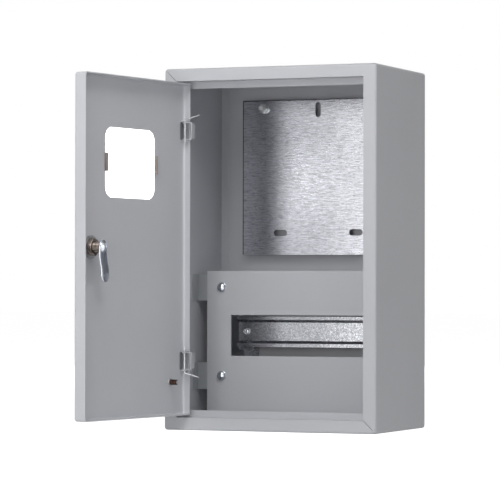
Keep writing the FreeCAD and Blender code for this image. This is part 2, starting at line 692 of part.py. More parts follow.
def lock_plug():
    """The turning barrel with its key slot, a square tail for the cam and a stub for the cam screw."""
    body = new_body("plug")
    cam_back = outer_face - d.cam_from_face - d.cam_t
    barrel = new_sketch(body, FRONT, outer_face - d.cam_from_face)
    circle(barrel, lock_x, lock_z, d.plug_d)
    pad(body, barrel, d.cam_from_face + d.bezel_t)
    tail = new_sketch(body, FRONT, cam_back)
    s = d.plug_square / 2
    rectangle(tail, lock_x - s, lock_x + s, lock_z - s, lock_z + s)
    pad(body, tail, d.cam_t)
    key = new_sketch(body, FRONT, outer_face + d.bezel_t - d.key_slot_d)
    w, h = d.key_slot_w / 2, d.key_slot_h / 2
    rectangle(key, lock_x - w, lock_x + w, lock_z - h, lock_z + h)
    pocket(body, key, d.key_slot_d)
    hang_on_door(body)
    keep(body, "lock_plug")


def cam_outline():
    """The cam's face outline: a round pivot end, straight sides and a round tip."""
    body = new_body("cam_face")
    outline = new_sketch(body, FRONT, outer_face - d.cam_from_face - d.cam_t - d.cam_crank - d.cam_t)
    w = d.cam_w / 2
    slot(outline, lock_x, lock_z - d.cam_len + w, lock_x, lock_z, w)
    s = d.plug_square / 2 + d.square_fit
    rectangle(outline, lock_x - s, lock_x + s, lock_z - s, lock_z + s)
    pad(body, outline, d.cam_crank + d.cam_t * 3)
    return body


def cam_strip():
    """The cam seen from its edge: a strip cranked away from the door."""
    body = new_body("cam_edge")
    side = new_sketch(body, SIDE, lock_x - d.cam_w)
    near_y = d.cam_from_face - outer_face
    far_y = near_y + d.cam_t
    top, foot = lock_z + d.cam_w, lock_z - d.cam_len - d.cam_t
    bend = lock_z - d.cam_crank_at
    run = bend - d.cam_crank_run
    polygon(side, [
        (near_y, top), (near_y, bend), (near_y + d.cam_crank, run), (near_y + d.cam_crank, foot),
        (far_y + d.cam_crank, foot), (far_y + d.cam_crank, run), (far_y, bend), (far_y, top),
    ])
    pad(body, side, d.cam_w * 2)
    return body


def lock_cam():
    cam = doc.addObject("Part::Common", "cam")
    cam.Base = cam_outline()
    cam.Tool = cam_strip()
    doc.recompute()
    hang_on_door(cam)
    keep(cam, "lock_cam")


def cam_screw():
    """The domed screw that holds the cam on its square."""
    body = new_body("camscrew")
    foot = outer_face - d.cam_from_face - d.cam_t
    head = new_sketch(body, FRONT, foot - d.cam_screw_t)
    circle(head, lock_x, lock_z, d.cam_screw_d)
    pad(body, head, d.cam_screw_t)
    round_edges(body, d.cam_screw_round, lambda p: near(p.y, -foot + d.cam_screw_t))
    hang_on_door(body)
    keep(body, "cam_screw")


# Meter plate and its fasteners

def meter_plate():
    """The galvanised plate with slots for a meter, and a lower fold that rests on the back panel."""
    body = new_body("plate")
    face = new_sketch(body, FRONT, d.plate_front - d.plate_t)
    w, foot = d.plate_w / 2, plate_top - d.plate_h
    rounded_rectangle(face, -w, w, foot, plate_top, d.plate_r)
    upright_slot(face, 0, plate_top - d.upper_slot_down, d.upper_slot_w, d.upper_slot_h)
    low = plate_top - d.lower_slot_down
    for side in (-1, 1):
        level_slot(face, d.lower_slot_pitch / 2 * side, low, d.lower_slot_w, d.lower_slot_h)
        circle(face, plate_stud_x * side, plate_stud_z, d.plate_stud_d + d.stud_hole_fit * 2)
    pad(body, face, d.plate_t)
    fold = new_sketch(body, FRONT, d.back_sheet)
    inset = d.plate_r * 2
    rectangle(fold, -w + inset, w - inset, foot, foot + d.plate_t)
    pad(body, fold, d.plate_front - d.plate_t - d.back_sheet)
    keep(body, "meter_plate")


def ring_piece(label, x, z, back, length, outer, inner):
    """A washer or spacer on an axis that points out of the wall."""
    body = new_body(label)
    ring = new_sketch(body, FRONT, back)
    circle(ring, x, z, outer)
    circle(ring, x, z, inner)
    pad(body, ring, length)
    keep(body, label)


def nut_piece(label, x, z, back, length, across_flats, inner):
    body = new_body(label)
    ring = new_sketch(body, FRONT, back)
    hexagon(ring, x, z, across_flats)
    circle(ring, x, z, inner)
    pad(body, ring, length)
    keep(body, label)


def plate_fasteners():
    """Two studs on the back panel, each with a spacer behind the plate and a washer and nut before it."""
    nut_back = d.plate_front + d.plate_washer_t
    for side, name in ((-1, "left"), (1, "right")):
        x, z = plate_stud_x * side, plate_stud_z
        stud = new_body(f"plate_stud_{name}")
        shank = new_sketch(stud, FRONT, d.back_sheet)
        circle(shank, x, z, d.plate_stud_d)
        pad(stud, shank, nut_back + d.plate_nut_t + d.stud_past_nut - d.back_sheet)
        keep(stud, f"plate_stud_{name}")
        bore = d.plate_stud_d + d.stud_hole_fit
        gap = d.plate_front - d.plate_t - d.back_sheet
        ring_piece(f"plate_spacer_{name}", x, z, d.back_sheet, gap, d.spacer_d, bore)
        ring_piece(f"plate_washer_{name}", x, z, d.plate_front, d.plate_washer_t, d.plate_washer_d, bore)
        nut_piece(f"plate_nut_{name}", x, z, nut_back, d.plate_nut_t, d.plate_nut_af, d.plate_stud_d)


# Breaker cover

def breaker_cover():
    """The screwed-on sheet with the breaker window; its top edge is folded back."""
    body = new_body("cover")
    face = new_sketch(body, FRONT, cover_back)
    w = d.cover_w / 2
    rectangle(face, -w, w, cover_foot, cover_top)
    window_w, window_h = d.cover_window_w / 2, d.cover_window_h / 2
    z = cover_foot + d.cover_window_up
    rectangle(face, -window_w, window_w, z - window_h, z + window_h)
    for side in (-1, 1):
        for z in (upper_screw_z, lower_screw_z):
            circle(face, d.cover_screw_x * side, z, d.cover_screw_d + d.cover_hole_fit * 2)
    pad(body, face, d.cover_t)
    fold = new_sketch(body, FRONT, cover_back - d.cover_fold)
    clear = d.cover_screw_x - d.cover_head_d
    rectangle(fold, -clear, clear, cover_top - d.cover_t, cover_top)
    pad(body, fold, d.cover_fold)
    keep(body, "breaker_cover")


def cover_bracket(label, side, z):
    """An angle on the side wall that carries one corner of the cover."""
    body = new_body(label)
    profile = new_sketch(body, TOP, z - d.cover_bracket_h / 2)
    wall = half_w - d.sheet
    t, leg = d.cover_bracket_t, d.cover_bracket_leg
    reach = d.cover_screw_x - d.cover_bracket_past
    polygon(profile, [
        (wall * side, -cover_back - leg + t), ((wall - t) * side, -cover_back - leg + t),
        ((wall - t) * side, -cover_back), (reach * side, -cover_back),
        (reach * side, -cover_back + t), (wall * side, -cover_back + t),
    ])
    pad(body, profile, d.cover_bracket_h)
    hole = new_sketch(body, FRONT, cover_back - t * 2)
    circle(hole, d.cover_screw_x * side, z, d.cover_screw_d + d.cover_hole_fit * 2)
    pocket(body, hole, t * 3)
    keep(body, label)


def dome_screw(label, x, z, seat, shank_d, shank_len, head_d, head_t, head_round):
    """A domed screw with a cross recess, driven towards the wall."""
    body = new_body(label)
    head = new_sketch(body, FRONT, seat)
    circle(head, x, z, head_d)
    pad(body, head, head_t)
    round_edges(body, head_round, lambda p: near(p.y, -seat - head_t))
    for width, height in ((d.recess_w, d.recess_l), (d.recess_l, d.recess_w)):
        cross = new_sketch(body, FRONT, seat + head_t - d.recess_d)
        rectangle(cross, x - width / 2, x + width / 2, z - height / 2, z + height / 2)
        pocket(body, cross, d.recess_d)
    shank = new_sketch(body, FRONT, seat - shank_len)
    circle(shank, x, z, shank_d)
    pad(body, shank, shank_len)
    keep(body, label)


def cover_fixings():
    """A bracket, a screw and a nut at each corner of the cover."""
    for side, hand in ((-1, "left"), (1, "right")):
        for z, level in ((upper_screw_z, "upper"), (lower_screw_z, "lower")):
            cover_bracket(f"cover_bracket_{level}_{hand}", side, z)
            x = d.cover_screw_x * side
            nut_back = cover_back - d.cover_bracket_t - d.cover_nut_t
            grip = d.cover_front - nut_back
            dome_screw(f"cover_screw_{level}_{hand}", x, z, d.cover_front, d.cover_screw_d, grip,
                       d.cover_head_d, d.cover_head_t, d.cover_head_round)
            nut_piece(f"cover_nut_{level}_{hand}", x, z, nut_back, d.cover_nut_t, d.cover_nut_af,
                      d.cover_screw_d)


# Breaker rail

def din_rail():
    """The top-hat rail, its lips facing the door."""
    body = new_body("rail")
    profile = new_sketch(body, SIDE, -d.rail_len / 2)
    lip, back = -d.rail_front, -rail_back
    t, z = d.rail_t, rail_z
    top, mouth, floor = d.rail_h / 2, d.rail_mouth / 2, d.rail_floor / 2
    polygon(profile, [
        (lip, z + top), (lip, z + mouth), (back - t, z + floor), (back - t, z - floor),
        (lip, z - mouth), (lip, z - top), (lip + t, z - top), (lip + t, z - mouth - t),
        (back, z - floor - t), (back, z + floor + t), (lip + t, z + mouth + t), (lip + t, z + top),
    ])
    pad(body, profile, d.rail_len)
    holes = new_sketch(body, FRONT, rail_back - t)
    for side in (-1, 1):
        circle(holes, (d.rail_len / 2 - d.rail_screw_in) * side, z, d.rail_screw_d + d.rail_hole_fit * 2)
    pocket(body, holes, t * 3)
    keep(body, "din_rail")


def rail_bracket(label, side):
    """A hat-shaped stand-off between the back panel and one end of the rail."""
    body = new_body(label)
    x = (d.rail_len / 2 - d.rail_screw_in) * side
    profile = new_sketch(body, SIDE, x - d.rail_bracket_w / 2)
    t, z = d.rail_bracket_t, rail_z
    wall, crown = -d.back_sheet, -rail_back
    half, foot = d.rail_bracket_h / 2, d.rail_bracket_h / 2 + d.rail_bracket_foot
    polygon(profile, [
        (wall, z + foot), (wall - t, z + foot), (wall - t, z + half), (crown, z + half),
        (crown, z - half), (wall - t, z - half), (wall - t, z - foot), (wall, z - foot),
        (wall, z - half + t), (crown + t, z - half + t), (crown + t, z + half - t), (wall, z + half - t),
    ])
    pad(body, profile, d.rail_bracket_w)
    hole = new_sketch(body, FRONT, rail_back - t * 2)
    circle(hole, x, z, d.rail_screw_d + d.rail_hole_fit * 2)
    pocket(body, hole, t * 3)
    keep(body, label)


def rail_fixings():
    for side, hand in ((-1, "left"), (1, "right")):
        rail_bracket(f"rail_bracket_{hand}", side)
        x = (d.rail_len / 2 - d.rail_screw_in) * side
        nut_back = rail_back - d.rail_bracket_t - d.rail_nut_t
        seat = rail_back + d.rail_t
        dome_screw(f"rail_screw_{hand}", x, rail_z, seat, d.rail_screw_d, seat - nut_back,
                   d.rail_head_d, d.rail_head_t, d.rail_head_round)
        nut_piece(f"rail_nut_{hand}", x, rail_z, nut_back, d.rail_nut_t, d.rail_nut_af, d.rail_screw_d)


# Earth and neutral behind the cover

def cabinet_earth_stud():
    """The cabinet's own stud on the back panel; its collar lies against the panel."""
    body = new_body("cabinet_stud")
    collar = new_sketch(body, FRONT, d.back_sheet)
    circle(collar, d.cabinet_stud_x, cabinet_stud_z, d.earth_collar_d)
    pad(body, collar, d.earth_collar_t)
    shank = new_sketch(body, FRONT, d.back_sheet)
    circle(shank, d.cabinet_stud_x, cabinet_stud_z, d.earth_stud_d)
    pad(body, shank, d.earth_stud_len)
    keep(body, "cabinet_earth_stud")


def neutral_bar():
    """A brass bar on two insulating posts, with a row of terminal screws."""
    seat = d.back_sheet + d.post_d
    bar = new_body("bar")
    block = new_sketch(bar, FRONT, seat)
    half, tall = d.bar_len / 2, d.bar_h / 2
    rectangle(block, d.bar_x - half, d.bar_x + half, bar_z - tall, bar_z + tall)
    pad(bar, block, d.bar_t)
    count = int((d.bar_len.value - d.post_w.value * 2) // d.terminal_pitch.value)
    places = [d.bar_x + d.terminal_pitch * (i - (count - 1) / 2) for i in range(count)]
    sink = new_sketch(bar, FRONT, seat + d.bar_t - d.terminal_sink)
    for x in places:
        circle(sink, x, bar_z, d.terminal_d + d.terminal_fit * 2)
    pocket(bar, sink, d.terminal_sink)
    keep(bar, "neutral_bar")
    for i, x in enumerate(places, start=1):
        screw = new_body(f"neutral_screw_{i}")
        head = new_sketch(screw, FRONT, seat + d.bar_t - d.terminal_sink)
        circle(head, x, bar_z, d.terminal_d)
        pad(screw, head, d.terminal_sink + d.terminal_t)
        keep(screw, f"neutral_screw_{i}")
    for side, hand in ((-1, "left"), (1, "right")):
        post = new_body(f"neutral_post_{hand}")
        block = new_sketch(post, FRONT, d.back_sheet)
        x = d.bar_x + (d.bar_len / 2 - d.post_w / 2) * side
        w, h = d.post_w / 2, d.post_h / 2
        rectangle(block, x - w, x + w, bar_z - h, bar_z + h)
        pad(post, block, d.post_d)
        keep(post, f"neutral_post_{hand}")


# Build, check and export

def build():
    cabinet_shells()
    back_panel()
    for level, z, flipped in (("upper", upper_hinge_z, False), ("lower", lower_hinge_z, True)):
        hinge_bracket(f"hinge_bracket_{level}", z)
        hinge_pin(f"hinge_pin_{level}", z, flipped)
    door_panel()
    window_pane()
    door_earth_stud()
    lock_housing()
    lock_washer()
    lock_nut()
    lock_plug()
    lock_cam()
    cam_screw()
    meter_plate()
    plate_fasteners()
    breaker_cover()
    cover_fixings()
    din_rail()
    rail_fixings()
    cabinet_earth_stud()
    neutral_bar()
    doc.recompute()


def check():
    for obj in doc.Objects:
        if "Invalid" in obj.State or "Error" in obj.State:
            raise RuntimeError(f"{obj.Name} did not build: {obj.State}")
    for piece in pieces:
        if piece.Shape.isNull() or not piece.Shape.isValid() or len(piece.Shape.Solids) != 1:
            raise RuntimeError(f"{piece.Label} is not one sound solid")


def export():
    os.makedirs("parts", exist_ok=True)
    for piece in pieces:
        piece.Shape.exportStep(f"parts/{piece.Label}.step")


build()
check()
export()
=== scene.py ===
import math

import bmesh
import bpy
from mathutils import Matrix, Vector


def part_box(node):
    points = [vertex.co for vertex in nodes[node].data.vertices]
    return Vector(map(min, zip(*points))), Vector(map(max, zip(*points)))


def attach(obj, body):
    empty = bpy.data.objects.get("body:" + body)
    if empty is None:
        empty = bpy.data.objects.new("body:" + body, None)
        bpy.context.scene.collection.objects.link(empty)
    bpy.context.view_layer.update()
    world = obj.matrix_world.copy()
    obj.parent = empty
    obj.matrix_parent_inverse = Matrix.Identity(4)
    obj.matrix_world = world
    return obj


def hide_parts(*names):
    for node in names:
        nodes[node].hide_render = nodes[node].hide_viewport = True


# Electric meter box with its door open: finishes, small fittings, stage, light and camera.
# X runs right, Y runs into the wall, Z runs up; the origin is the centre of the back face.
# The scene is in metres. Sizes of fittings are in mm until they are multiplied by MM.

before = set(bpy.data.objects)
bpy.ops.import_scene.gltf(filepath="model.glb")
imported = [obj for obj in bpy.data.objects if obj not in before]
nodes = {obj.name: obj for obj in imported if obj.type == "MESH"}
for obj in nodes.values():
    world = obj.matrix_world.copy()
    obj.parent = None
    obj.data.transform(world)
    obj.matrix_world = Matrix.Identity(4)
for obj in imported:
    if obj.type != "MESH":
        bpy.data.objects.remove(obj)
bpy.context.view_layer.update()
scene = bpy.context.scene

MM = 0.001
HINGE = Vector((-102.5 * MM, -155.0 * MM, 0.0))
UPPER_HINGE, LOWER_HINGE = 131.0, -123.5
DOOR_OPEN = math.radians(98.0)
FLOOR_Z = -200.0 * MM


# Node helpers

class Wiring:
    """A node tree with short calls that add nodes and link them."""

    def __init__(self, tree):
        self.tree = tree

    def add(self, kind, sockets=None, **settings):
        node = self.tree.nodes.new(kind)
        for key, value in settings.items():
            setattr(node, key, value)
        for key, value in (sockets or {}).items():
            self.put(node.inputs[key], value)
        return node

    def put(self, socket, value):
        if isinstance(value, bpy.types.NodeSocket):
            self.tree.links.new(value, socket)
        else:
            socket.default_value = value

    def math(self, operation, first, second=0.0):
        node = self.add("ShaderNodeMath", operation=operation)
        self.put(node.inputs[0], first)
        self.put(node.inputs[1], second)
        return node.outputs["Value"]


class Graph(Wiring):
    """A finish's nodes round its shader."""

    def __init__(self, name):
        self.material = bpy.data.materials.new(name)
        self.material.use_nodes = True
        super().__init__(self.material.node_tree)
        self.shader = self.tree.nodes["Principled BSDF"]
        self.place = self.add("ShaderNodeTexCoord").outputs["Object"]

    def finish(self, **sockets):
        """Sets the shader's sockets; an underscore in a name stands for a space."""
        for key, value in sockets.items():
            self.put(self.shader.inputs[key.replace("_", " ")], value)
        return self.material

    def stretched(self, x, y, z):
        """Object coordinates multiplied along each axis."""
        sockets = {"Vector": self.place, "Scale": (x, y, z)}
        return self.add("ShaderNodeMapping", sockets).outputs["Vector"]

    def noise(self, scale, detail=2.0, rough=0.5, place=None, distortion=0.0):
        sockets = {"Vector": place or self.place, "Scale": scale, "Detail": detail, "Roughness": rough}
        sockets["Distortion"] = distortion
        return self.add("ShaderNodeTexNoise", sockets).outputs["Fac"]

    def level(self, fac, low, high, start=0.0, end=1.0):
        """A value carried from one range to another."""
        sockets = {"Value": fac, "From Min": start, "From Max": end, "To Min": low, "To Max": high}
        return self.add("ShaderNodeMapRange", sockets).outputs["Result"]

    def tones(self, fac, *stops):
        """A colour ramp through (position, colour) stops."""
        ramp = self.add("ShaderNodeValToRGB", {"Fac": fac})
        elements = ramp.color_ramp.elements
        while len(elements) < len(stops):
            elements.new(1.0)
        for element, (position, colour) in zip(elements, stops):
            element.position = position
            element.color = (*colour, 1.0)
        return ramp.outputs["Color"]

    def blend(self, fac, first, second, mode="MIX"):
        node = self.add("ShaderNodeMix", data_type="RGBA", blend_type=mode)
        for index, value in ((0, fac), (6, first), (7, second)):
            self.put(node.inputs[index], value)
        return node.outputs[2]

    def bump(self, height, strength, distance, below=None):
        sockets = {"Height": height, "Strength": strength, "Distance": distance}
        if below is not None:
            sockets["Normal"] = below
        return self.add("ShaderNodeBump", sockets).outputs["Normal"]


# Finishes

PAINT_LOW = (0.548, 0.556, 0.584)
PAINT_HIGH = (0.572, 0.579, 0.607)


def coat(g, lift=1.0):
    """Light grey powder coat with a fine pebbled skin, as the shader's sockets."""
    # A lift above 1 pales the paint, as painted light.
    low, high = (tuple(lift * part for part in tone) for tone in (PAINT_LOW, PAINT_HIGH))
    cloud = g.noise(9.0, 3.0)
    pebble = g.noise(1050.0, 2.0, 0.6)
    grain = g.noise(2900.0, 1.0)
    paint = g.tones(cloud, (0.3, low), (0.7, high))
    fleck = g.tones(grain, (0.25, (0.93, 0.93, 0.93)), (0.75, (1.0, 1.0, 1.0)))
    colour = g.blend(1.0, paint, fleck, "MULTIPLY")
    skin = g.bump(pebble, 0.14, 0.12 * MM)
    rough = g.level(pebble, 0.44, 0.58)
    return {"Base_Color": colour, "Roughness": rough, "Normal": skin, "Specular_IOR_Level": 0.4}


def powder_coat():
    g = Graph("powder_coat")
    return g.finish(**coat(g))


# Painted shade: the brackets' coat is darkened by this factor.
BRACKET_PAINTED_SHADE = (0.72, 0.74, 0.74, 1.0)


def bracket_coat():
    """The powder coat, darkened on the cover's brackets as painted shade."""
    g = Graph("bracket_coat")
    paint = coat(g)
    paint["Base_Color"] = g.blend(1.0, paint["Base_Color"], BRACKET_PAINTED_SHADE, "MULTIPLY")
    return g.finish(**paint)


# The door's coat, with places in mm from the hinge on the shut door
# The door's coat is lifted paler than the same coat on the cabinet, as painted light.
DOOR_PAINTED_LIGHT_LIFT, DOOR_ROUGHNESS = 1.09, 0.34
# Painted highlight: a paler line along the hinge-side fold, its colour and share.
FOLD_PAINTED_HIGHLIGHT, FOLD_HIGHLIGHT_SHARE = (0.71, 0.72, 0.75, 1.0), 0.85
FOLD_X, FOLD_Y = -3.4, -3.8
FOLD_HALF_X, FOLD_HALF_Y = 3.4, 2.4
# Painted shade: a near-black patch on the door's inner face behind each hinge pin, with its reach.
HINGE_PAINTED_SHADE, HINGE_SHADE_SHARE = (0.09, 0.09, 0.095, 1.0), 0.8
HINGE_SHADE_X = 0.4
HINGE_SHADE_TALL, HINGE_SHADE_WIDE, HINGE_SHADE_DEEP = (8.8, 10.4), (2.6, 4.4), (-4.6, -4.2)


def door_coat():
    """The door's coat, lifted paler as painted light: a paler line along the hinge-side fold as a painted
    highlight, and painted shade on the inner face behind each pin.
    """
    g = Graph("door_coat")
    back = Matrix.Rotation(DOOR_OPEN, 3, "Z") @ HINGE
    sockets = {"Vector": g.place, "Rotation": (0.0, 0.0, DOOR_OPEN), "Location": -back}
    on_door = g.add("ShaderNodeMapping", sockets).outputs["Vector"]
    place = g.add("ShaderNodeSeparateXYZ", {"Vector": on_door}).outputs

    def off(axis, middle):
        return g.math("ABSOLUTE", g.math("SUBTRACT", place[axis], middle * MM))

    def fade(distance, band):
        start, end = band
        return g.level(distance, 1.0, 0.0, start * MM, end * MM)

    across = g.math("DIVIDE", off("X", FOLD_X), FOLD_HALF_X * MM)
    deep = g.math("DIVIDE", off("Y", FOLD_Y), FOLD_HALF_Y * MM)
    # Painted light: the door's paint is lifted paler than the cabinet's.
    paint = coat(g, DOOR_PAINTED_LIGHT_LIFT)
    paint["Roughness"] = DOOR_ROUGHNESS
    # Painted highlight along the hinge-side fold.
    pale = g.level(g.math("MAXIMUM", across, deep), FOLD_HIGHLIGHT_SHARE, 0.0)
    folded = g.blend(pale, paint["Base_Color"], FOLD_PAINTED_HIGHLIGHT)
    # Painted shade behind each hinge pin, on the inner face only.
    nearest = g.math("MINIMUM", off("Z", UPPER_HINGE), off("Z", LOWER_HINGE))
    spot = g.math("MULTIPLY", fade(nearest, HINGE_SHADE_TALL), fade(off("X", HINGE_SHADE_X), HINGE_SHADE_WIDE))
    start, end = HINGE_SHADE_DEEP
    inside = g.level(place["Y"], 0.0, HINGE_SHADE_SHARE, start * MM, end * MM)
    paint["Base_Color"] = g.blend(g.math("MULTIPLY", spot, inside), folded, HINGE_PAINTED_SHADE)
    return g.finish(**paint)


# Where the meter plate is darkened as painted shade, in mm in from its ends
PLATE_PAINTED_SHADE, PLATE_SHADE_SHARE = (0.05, 0.05, 0.055, 1.0), 0.85
SHEARED_SIDE, SHEARED_TOP = (1.4, 0.8), (1.5, 0.9)
FOLD_UP, FOLD_IN = (0.1, 1.3), (0.6, 1.2)


def galvanised_plate():
    """Hot-dip zinc on sheet: level streaks and dark flecks, with near-black painted shade on the fold and
    sheared edges.
    """
    g = Graph("galvanised_plate")
    streak = g.noise(1.0, 4.0, 0.62, g.stretched(95.0, 95.0, 820.0), distortion=0.25)
    fine = g.noise(1.0, 2.0, 0.5, g.stretched(260.0, 260.0, 1500.0))
    cloud = g.noise(16.0, 3.0)
    fleck = g.noise(1.0, 3.0, 0.7, g.stretched(330.0, 330.0, 620.0))
    metal = g.tones(
        streak, (0.36, (0.54, 0.55, 0.59)), (0.5, (0.73, 0.735, 0.78)), (0.64, (0.86, 0.86, 0.91)),
    )
    dark = g.tones(fleck, (0.33, (0.55, 0.56, 0.58)), (0.46, (1.0, 1.0, 1.0)))
    colour = g.blend(1.0, metal, dark, "MULTIPLY")
    place = g.add("ShaderNodeSeparateXYZ", {"Vector": g.place}).outputs
    low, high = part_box("meter_plate")
    foot = g.level(place["Z"], 1.0, 0.0, *(low.z + step * MM for step in FOLD_UP))
    behind = g.level(place["Y"], 0.0, PLATE_SHADE_SHARE, *(low.y + step * MM for step in FOLD_IN))
    aside = g.math("ABSOLUTE", place["X"])
    side = g.level(aside, 0.0, PLATE_SHADE_SHARE, *(high.x - step * MM for step in SHEARED_SIDE))
    top = g.level(place["Z"], 0.0, PLATE_SHADE_SHARE, *(high.z - step * MM for step in SHEARED_TOP))
    # Painted shade along the sheared side and top edges and under the bottom fold.
    dull = g.math("MAXIMUM", g.math("MAXIMUM", side, top), g.math("MULTIPLY", foot, behind))
    colour = g.blend(dull, colour, PLATE_PAINTED_SHADE)
    skin = g.bump(streak, 0.45, 0.25 * MM, g.bump(fine, 0.25, 0.1 * MM))
    rough = g.math("ADD", g.level(cloud, 0.13, 0.19), g.level(fleck, 0.06, 0.0, 0.3, 0.6))
    return g.finish(Base_Color=colour, Metallic=1.0, Roughness=rough, Normal=skin)


def galvanised_rail():
    """Zinc with a fine sparkle on the breaker rail, its brackets and the meter plate's spacers."""
    g = Graph("galvanised_rail")
    sparkle = g.add("ShaderNodeTexVoronoi", {"Vector": g.place, "Scale": 900.0, "Randomness": 1.0})
    glint = g.add("ShaderNodeSeparateColor", {"Color": sparkle.outputs["Color"]}).outputs["Red"]
    cloud = g.noise(45.0, 3.0)
    metal = g.tones(glint, (0.0, (0.41, 0.42, 0.45)), (0.6, (0.58, 0.59, 0.62)), (1.0, (0.75, 0.75, 0.78)))
    skin = g.bump(glint, 0.3, 0.08 * MM, g.bump(g.noise(600.0, 2.0), 0.15, 0.1 * MM))
    return g.finish(Base_Color=metal, Metallic=1.0, Roughness=g.level(cloud, 0.18, 0.28), Normal=skin)


def bright_zinc():
    """Bright zinc plate on the screws and nuts of the rail and the breaker cover."""
    g = Graph("bright_zinc")
    cloud = g.noise(160.0, 3.0)
    scratch = g.noise(1.0, 2.0, 0.5, g.stretched(500.0, 2600.0, 900.0))
    metal = g.tones(cloud, (0.3, (0.62, 0.64, 0.68)), (0.7, (0.80, 0.81, 0.84)))
    skin = g.bump(scratch, 0.12, 0.05 * MM)
    return g.finish(Base_Color=metal, Metallic=1.0, Roughness=g.level(scratch, 0.16, 0.30), Normal=skin)


def pin_zinc():
    """Duller zinc on the hinge wires, the plate's studs and the earth studs' ends, drawn lengthwise."""
    g = Graph("pin_zinc")
    cloud = g.noise(240.0, 3.0)
    drawn = g.noise(1.0, 2.0, 0.5, g.stretched(1900.0, 1900.0, 120.0))
    metal = g.tones(cloud, (0.3, (0.52, 0.53, 0.55)), (0.7, (0.68, 0.69, 0.71)))
    skin = g.bump(drawn, 0.15, 0.04 * MM)
    return g.finish(Base_Color=metal, Metallic=1.0, Roughness=g.level(drawn, 0.32, 0.46), Normal=skin)


def smoked_lug():
    """Smoky brown moulded plastic of the pane's snap lugs."""
    g = Graph("smoked_lug")
    cloud = g.noise(120.0, 2.0)
    tint = g.tones(cloud, (0.3, (0.20, 0.165, 0.148)), (0.7, (0.27, 0.225, 0.205)))
    skin = g.bump(g.noise(1200.0, 2.0), 0.12, 0.05 * MM)
    return g.finish(Base_Color=tint, Roughness=g.level(cloud, 0.34, 0.46), Normal=skin)


def washer_steel():
    """Plain steel of the washers and the meter plate's nuts, finely scuffed."""
    g = Graph("washer_steel")
    cloud = g.noise(220.0, 3.0)
    metal = g.tones(cloud, (0.3, (0.34, 0.35, 0.36)), (0.7, (0.50, 0.51, 0.52)))
    skin = g.bump(g.noise(1400.0, 2.0), 0.2, 0.05 * MM)
    return g.finish(Base_Color=metal, Metallic=1.0, Roughness=g.level(cloud, 0.28, 0.42), Normal=skin)


def cam_chrome():
    """Polished plate on the lock's cam, bezel and plug and the cover screws' heads, with faint drag lines."""
    g = Graph("cam_chrome")
    drag = g.noise(1.0, 3.0, 0.5, g.stretched(1800.0, 1800.0, 160.0))
    metal = g.tones(drag, (0.3, (0.52, 0.55, 0.61)), (0.7, (0.64, 0.67, 0.72)))
    skin = g.bump(drag, 0.10, 0.04 * MM)
    return g.finish(Base_Color=metal, Metallic=1.0, Roughness=g.level(drag, 0.10, 0.20), Normal=skin)


def yellow_passivate():
    """Yellow passivated zinc with its drifting straw, rose and brown tints."""
    g = Graph("yellow_passivate")
    drift = g.noise(140.0, 3.0, 0.6, distortion=0.6)
    metal = g.tones(
        drift, (0.28, (0.10, 0.085, 0.075)), (0.45, (0.20, 0.17, 0.145)),
        (0.56, (0.31, 0.25, 0.245)), (0.70, (0.25, 0.23, 0.17)),
    )
    skin = g.bump(g.noise(900.0, 2.0), 0.15, 0.05 * MM)
    return g.finish(Base_Color=metal, Metallic=1.0, Roughness=g.level(drift, 0.22, 0.38), Normal=skin)


def dull_copper():
    """Copper plate on the earth studs, darkened unevenly."""
    g = Graph("dull_copper")
    dull = g.noise(350.0, 3.0)
    metal = g.tones(dull, (0.3, (0.022, 0.013, 0.011)), (0.7, (0.075, 0.045, 0.038)))
    skin = g.bump(g.noise(1500.0, 2.0), 0.15, 0.05 * MM)
    return g.finish(Base_Color=metal, Metallic=1.0, Roughness=g.level(dull, 0.45, 0.30), Normal=skin)


def terminal_brass():
    g = Graph("terminal_brass")
    dull = g.noise(260.0, 3.0)
    metal = g.tones(dull, (0.3, (0.58, 0.42, 0.19)), (0.7, (0.78, 0.61, 0.31)))
    skin = g.bump(g.noise(1.0, 2.0, 0.5, g.stretched(120.0, 1500.0, 1500.0)), 0.15, 0.05 * MM)
    return g.finish(Base_Color=metal, Metallic=1.0, Roughness=g.level(dull, 0.22, 0.36), Normal=skin)


def insulator_plastic():
    g = Graph("insulator_plastic")
    cloud = g.noise(80.0, 2.0)
    tint = g.tones(cloud, (0.3, (0.05, 0.10, 0.27)), (0.7, (0.07, 0.13, 0.32)))
    skin = g.bump(g.noise(1300.0, 2.0), 0.2, 0.06 * MM)
    return g.finish(Base_Color=tint, Roughness=g.level(cloud, 0.42, 0.55), Normal=skin)


def clear_pane():
    """Clear moulded plastic with the faintest moulding ripple."""
    g = Graph("clear_pane")
    ripple = g.noise(60.0, 1.0)
    tint = g.tones(ripple, (0.3, (0.99, 0.992, 0.992)), (0.7, (1.0, 1.0, 1.0)))
    skin = g.bump(ripple, 0.02, 0.05 * MM)
    return g.finish(
        Base_Color=tint, Roughness=g.level(ripple, 0.01, 0.03), Normal=skin,
        Transmission_Weight=1.0, IOR=1.15,
    )


FINISHES = {
    make.__name__: make()
    for make in (
        powder_coat, door_coat, bracket_coat, galvanised_plate, galvanised_rail, bright_zinc, pin_zinc,
        smoked_lug, washer_steel, cam_chrome, yellow_passivate, dull_copper, terminal_brass,
        insulator_plastic, clear_pane,
    )
}

# Finish of every node whose name starts so; the rest are powder coated
NODE_FINISHES = {
    "door_panel": "door_coat",
    "cover_bracket": "bracket_coat",
    "cover_nut": "bright_zinc",
    "meter_plate": "galvanised_plate",
    "plate_spacer": "galvanised_rail",
    "plate_washer": "washer_steel",
    "din_rail": "galvanised_rail",
    "rail_bracket": "galvanised_rail",
    "rail_screw": "bright_zinc",
    "rail_nut": "bright_zinc",
    "lock_washer": "washer_steel",
    "lock_plug": "cam_chrome",
    "neutral_bar": "terminal_brass",
    "neutral_screw": "terminal_brass",
    "neutral_post": "insulator_plastic",
}


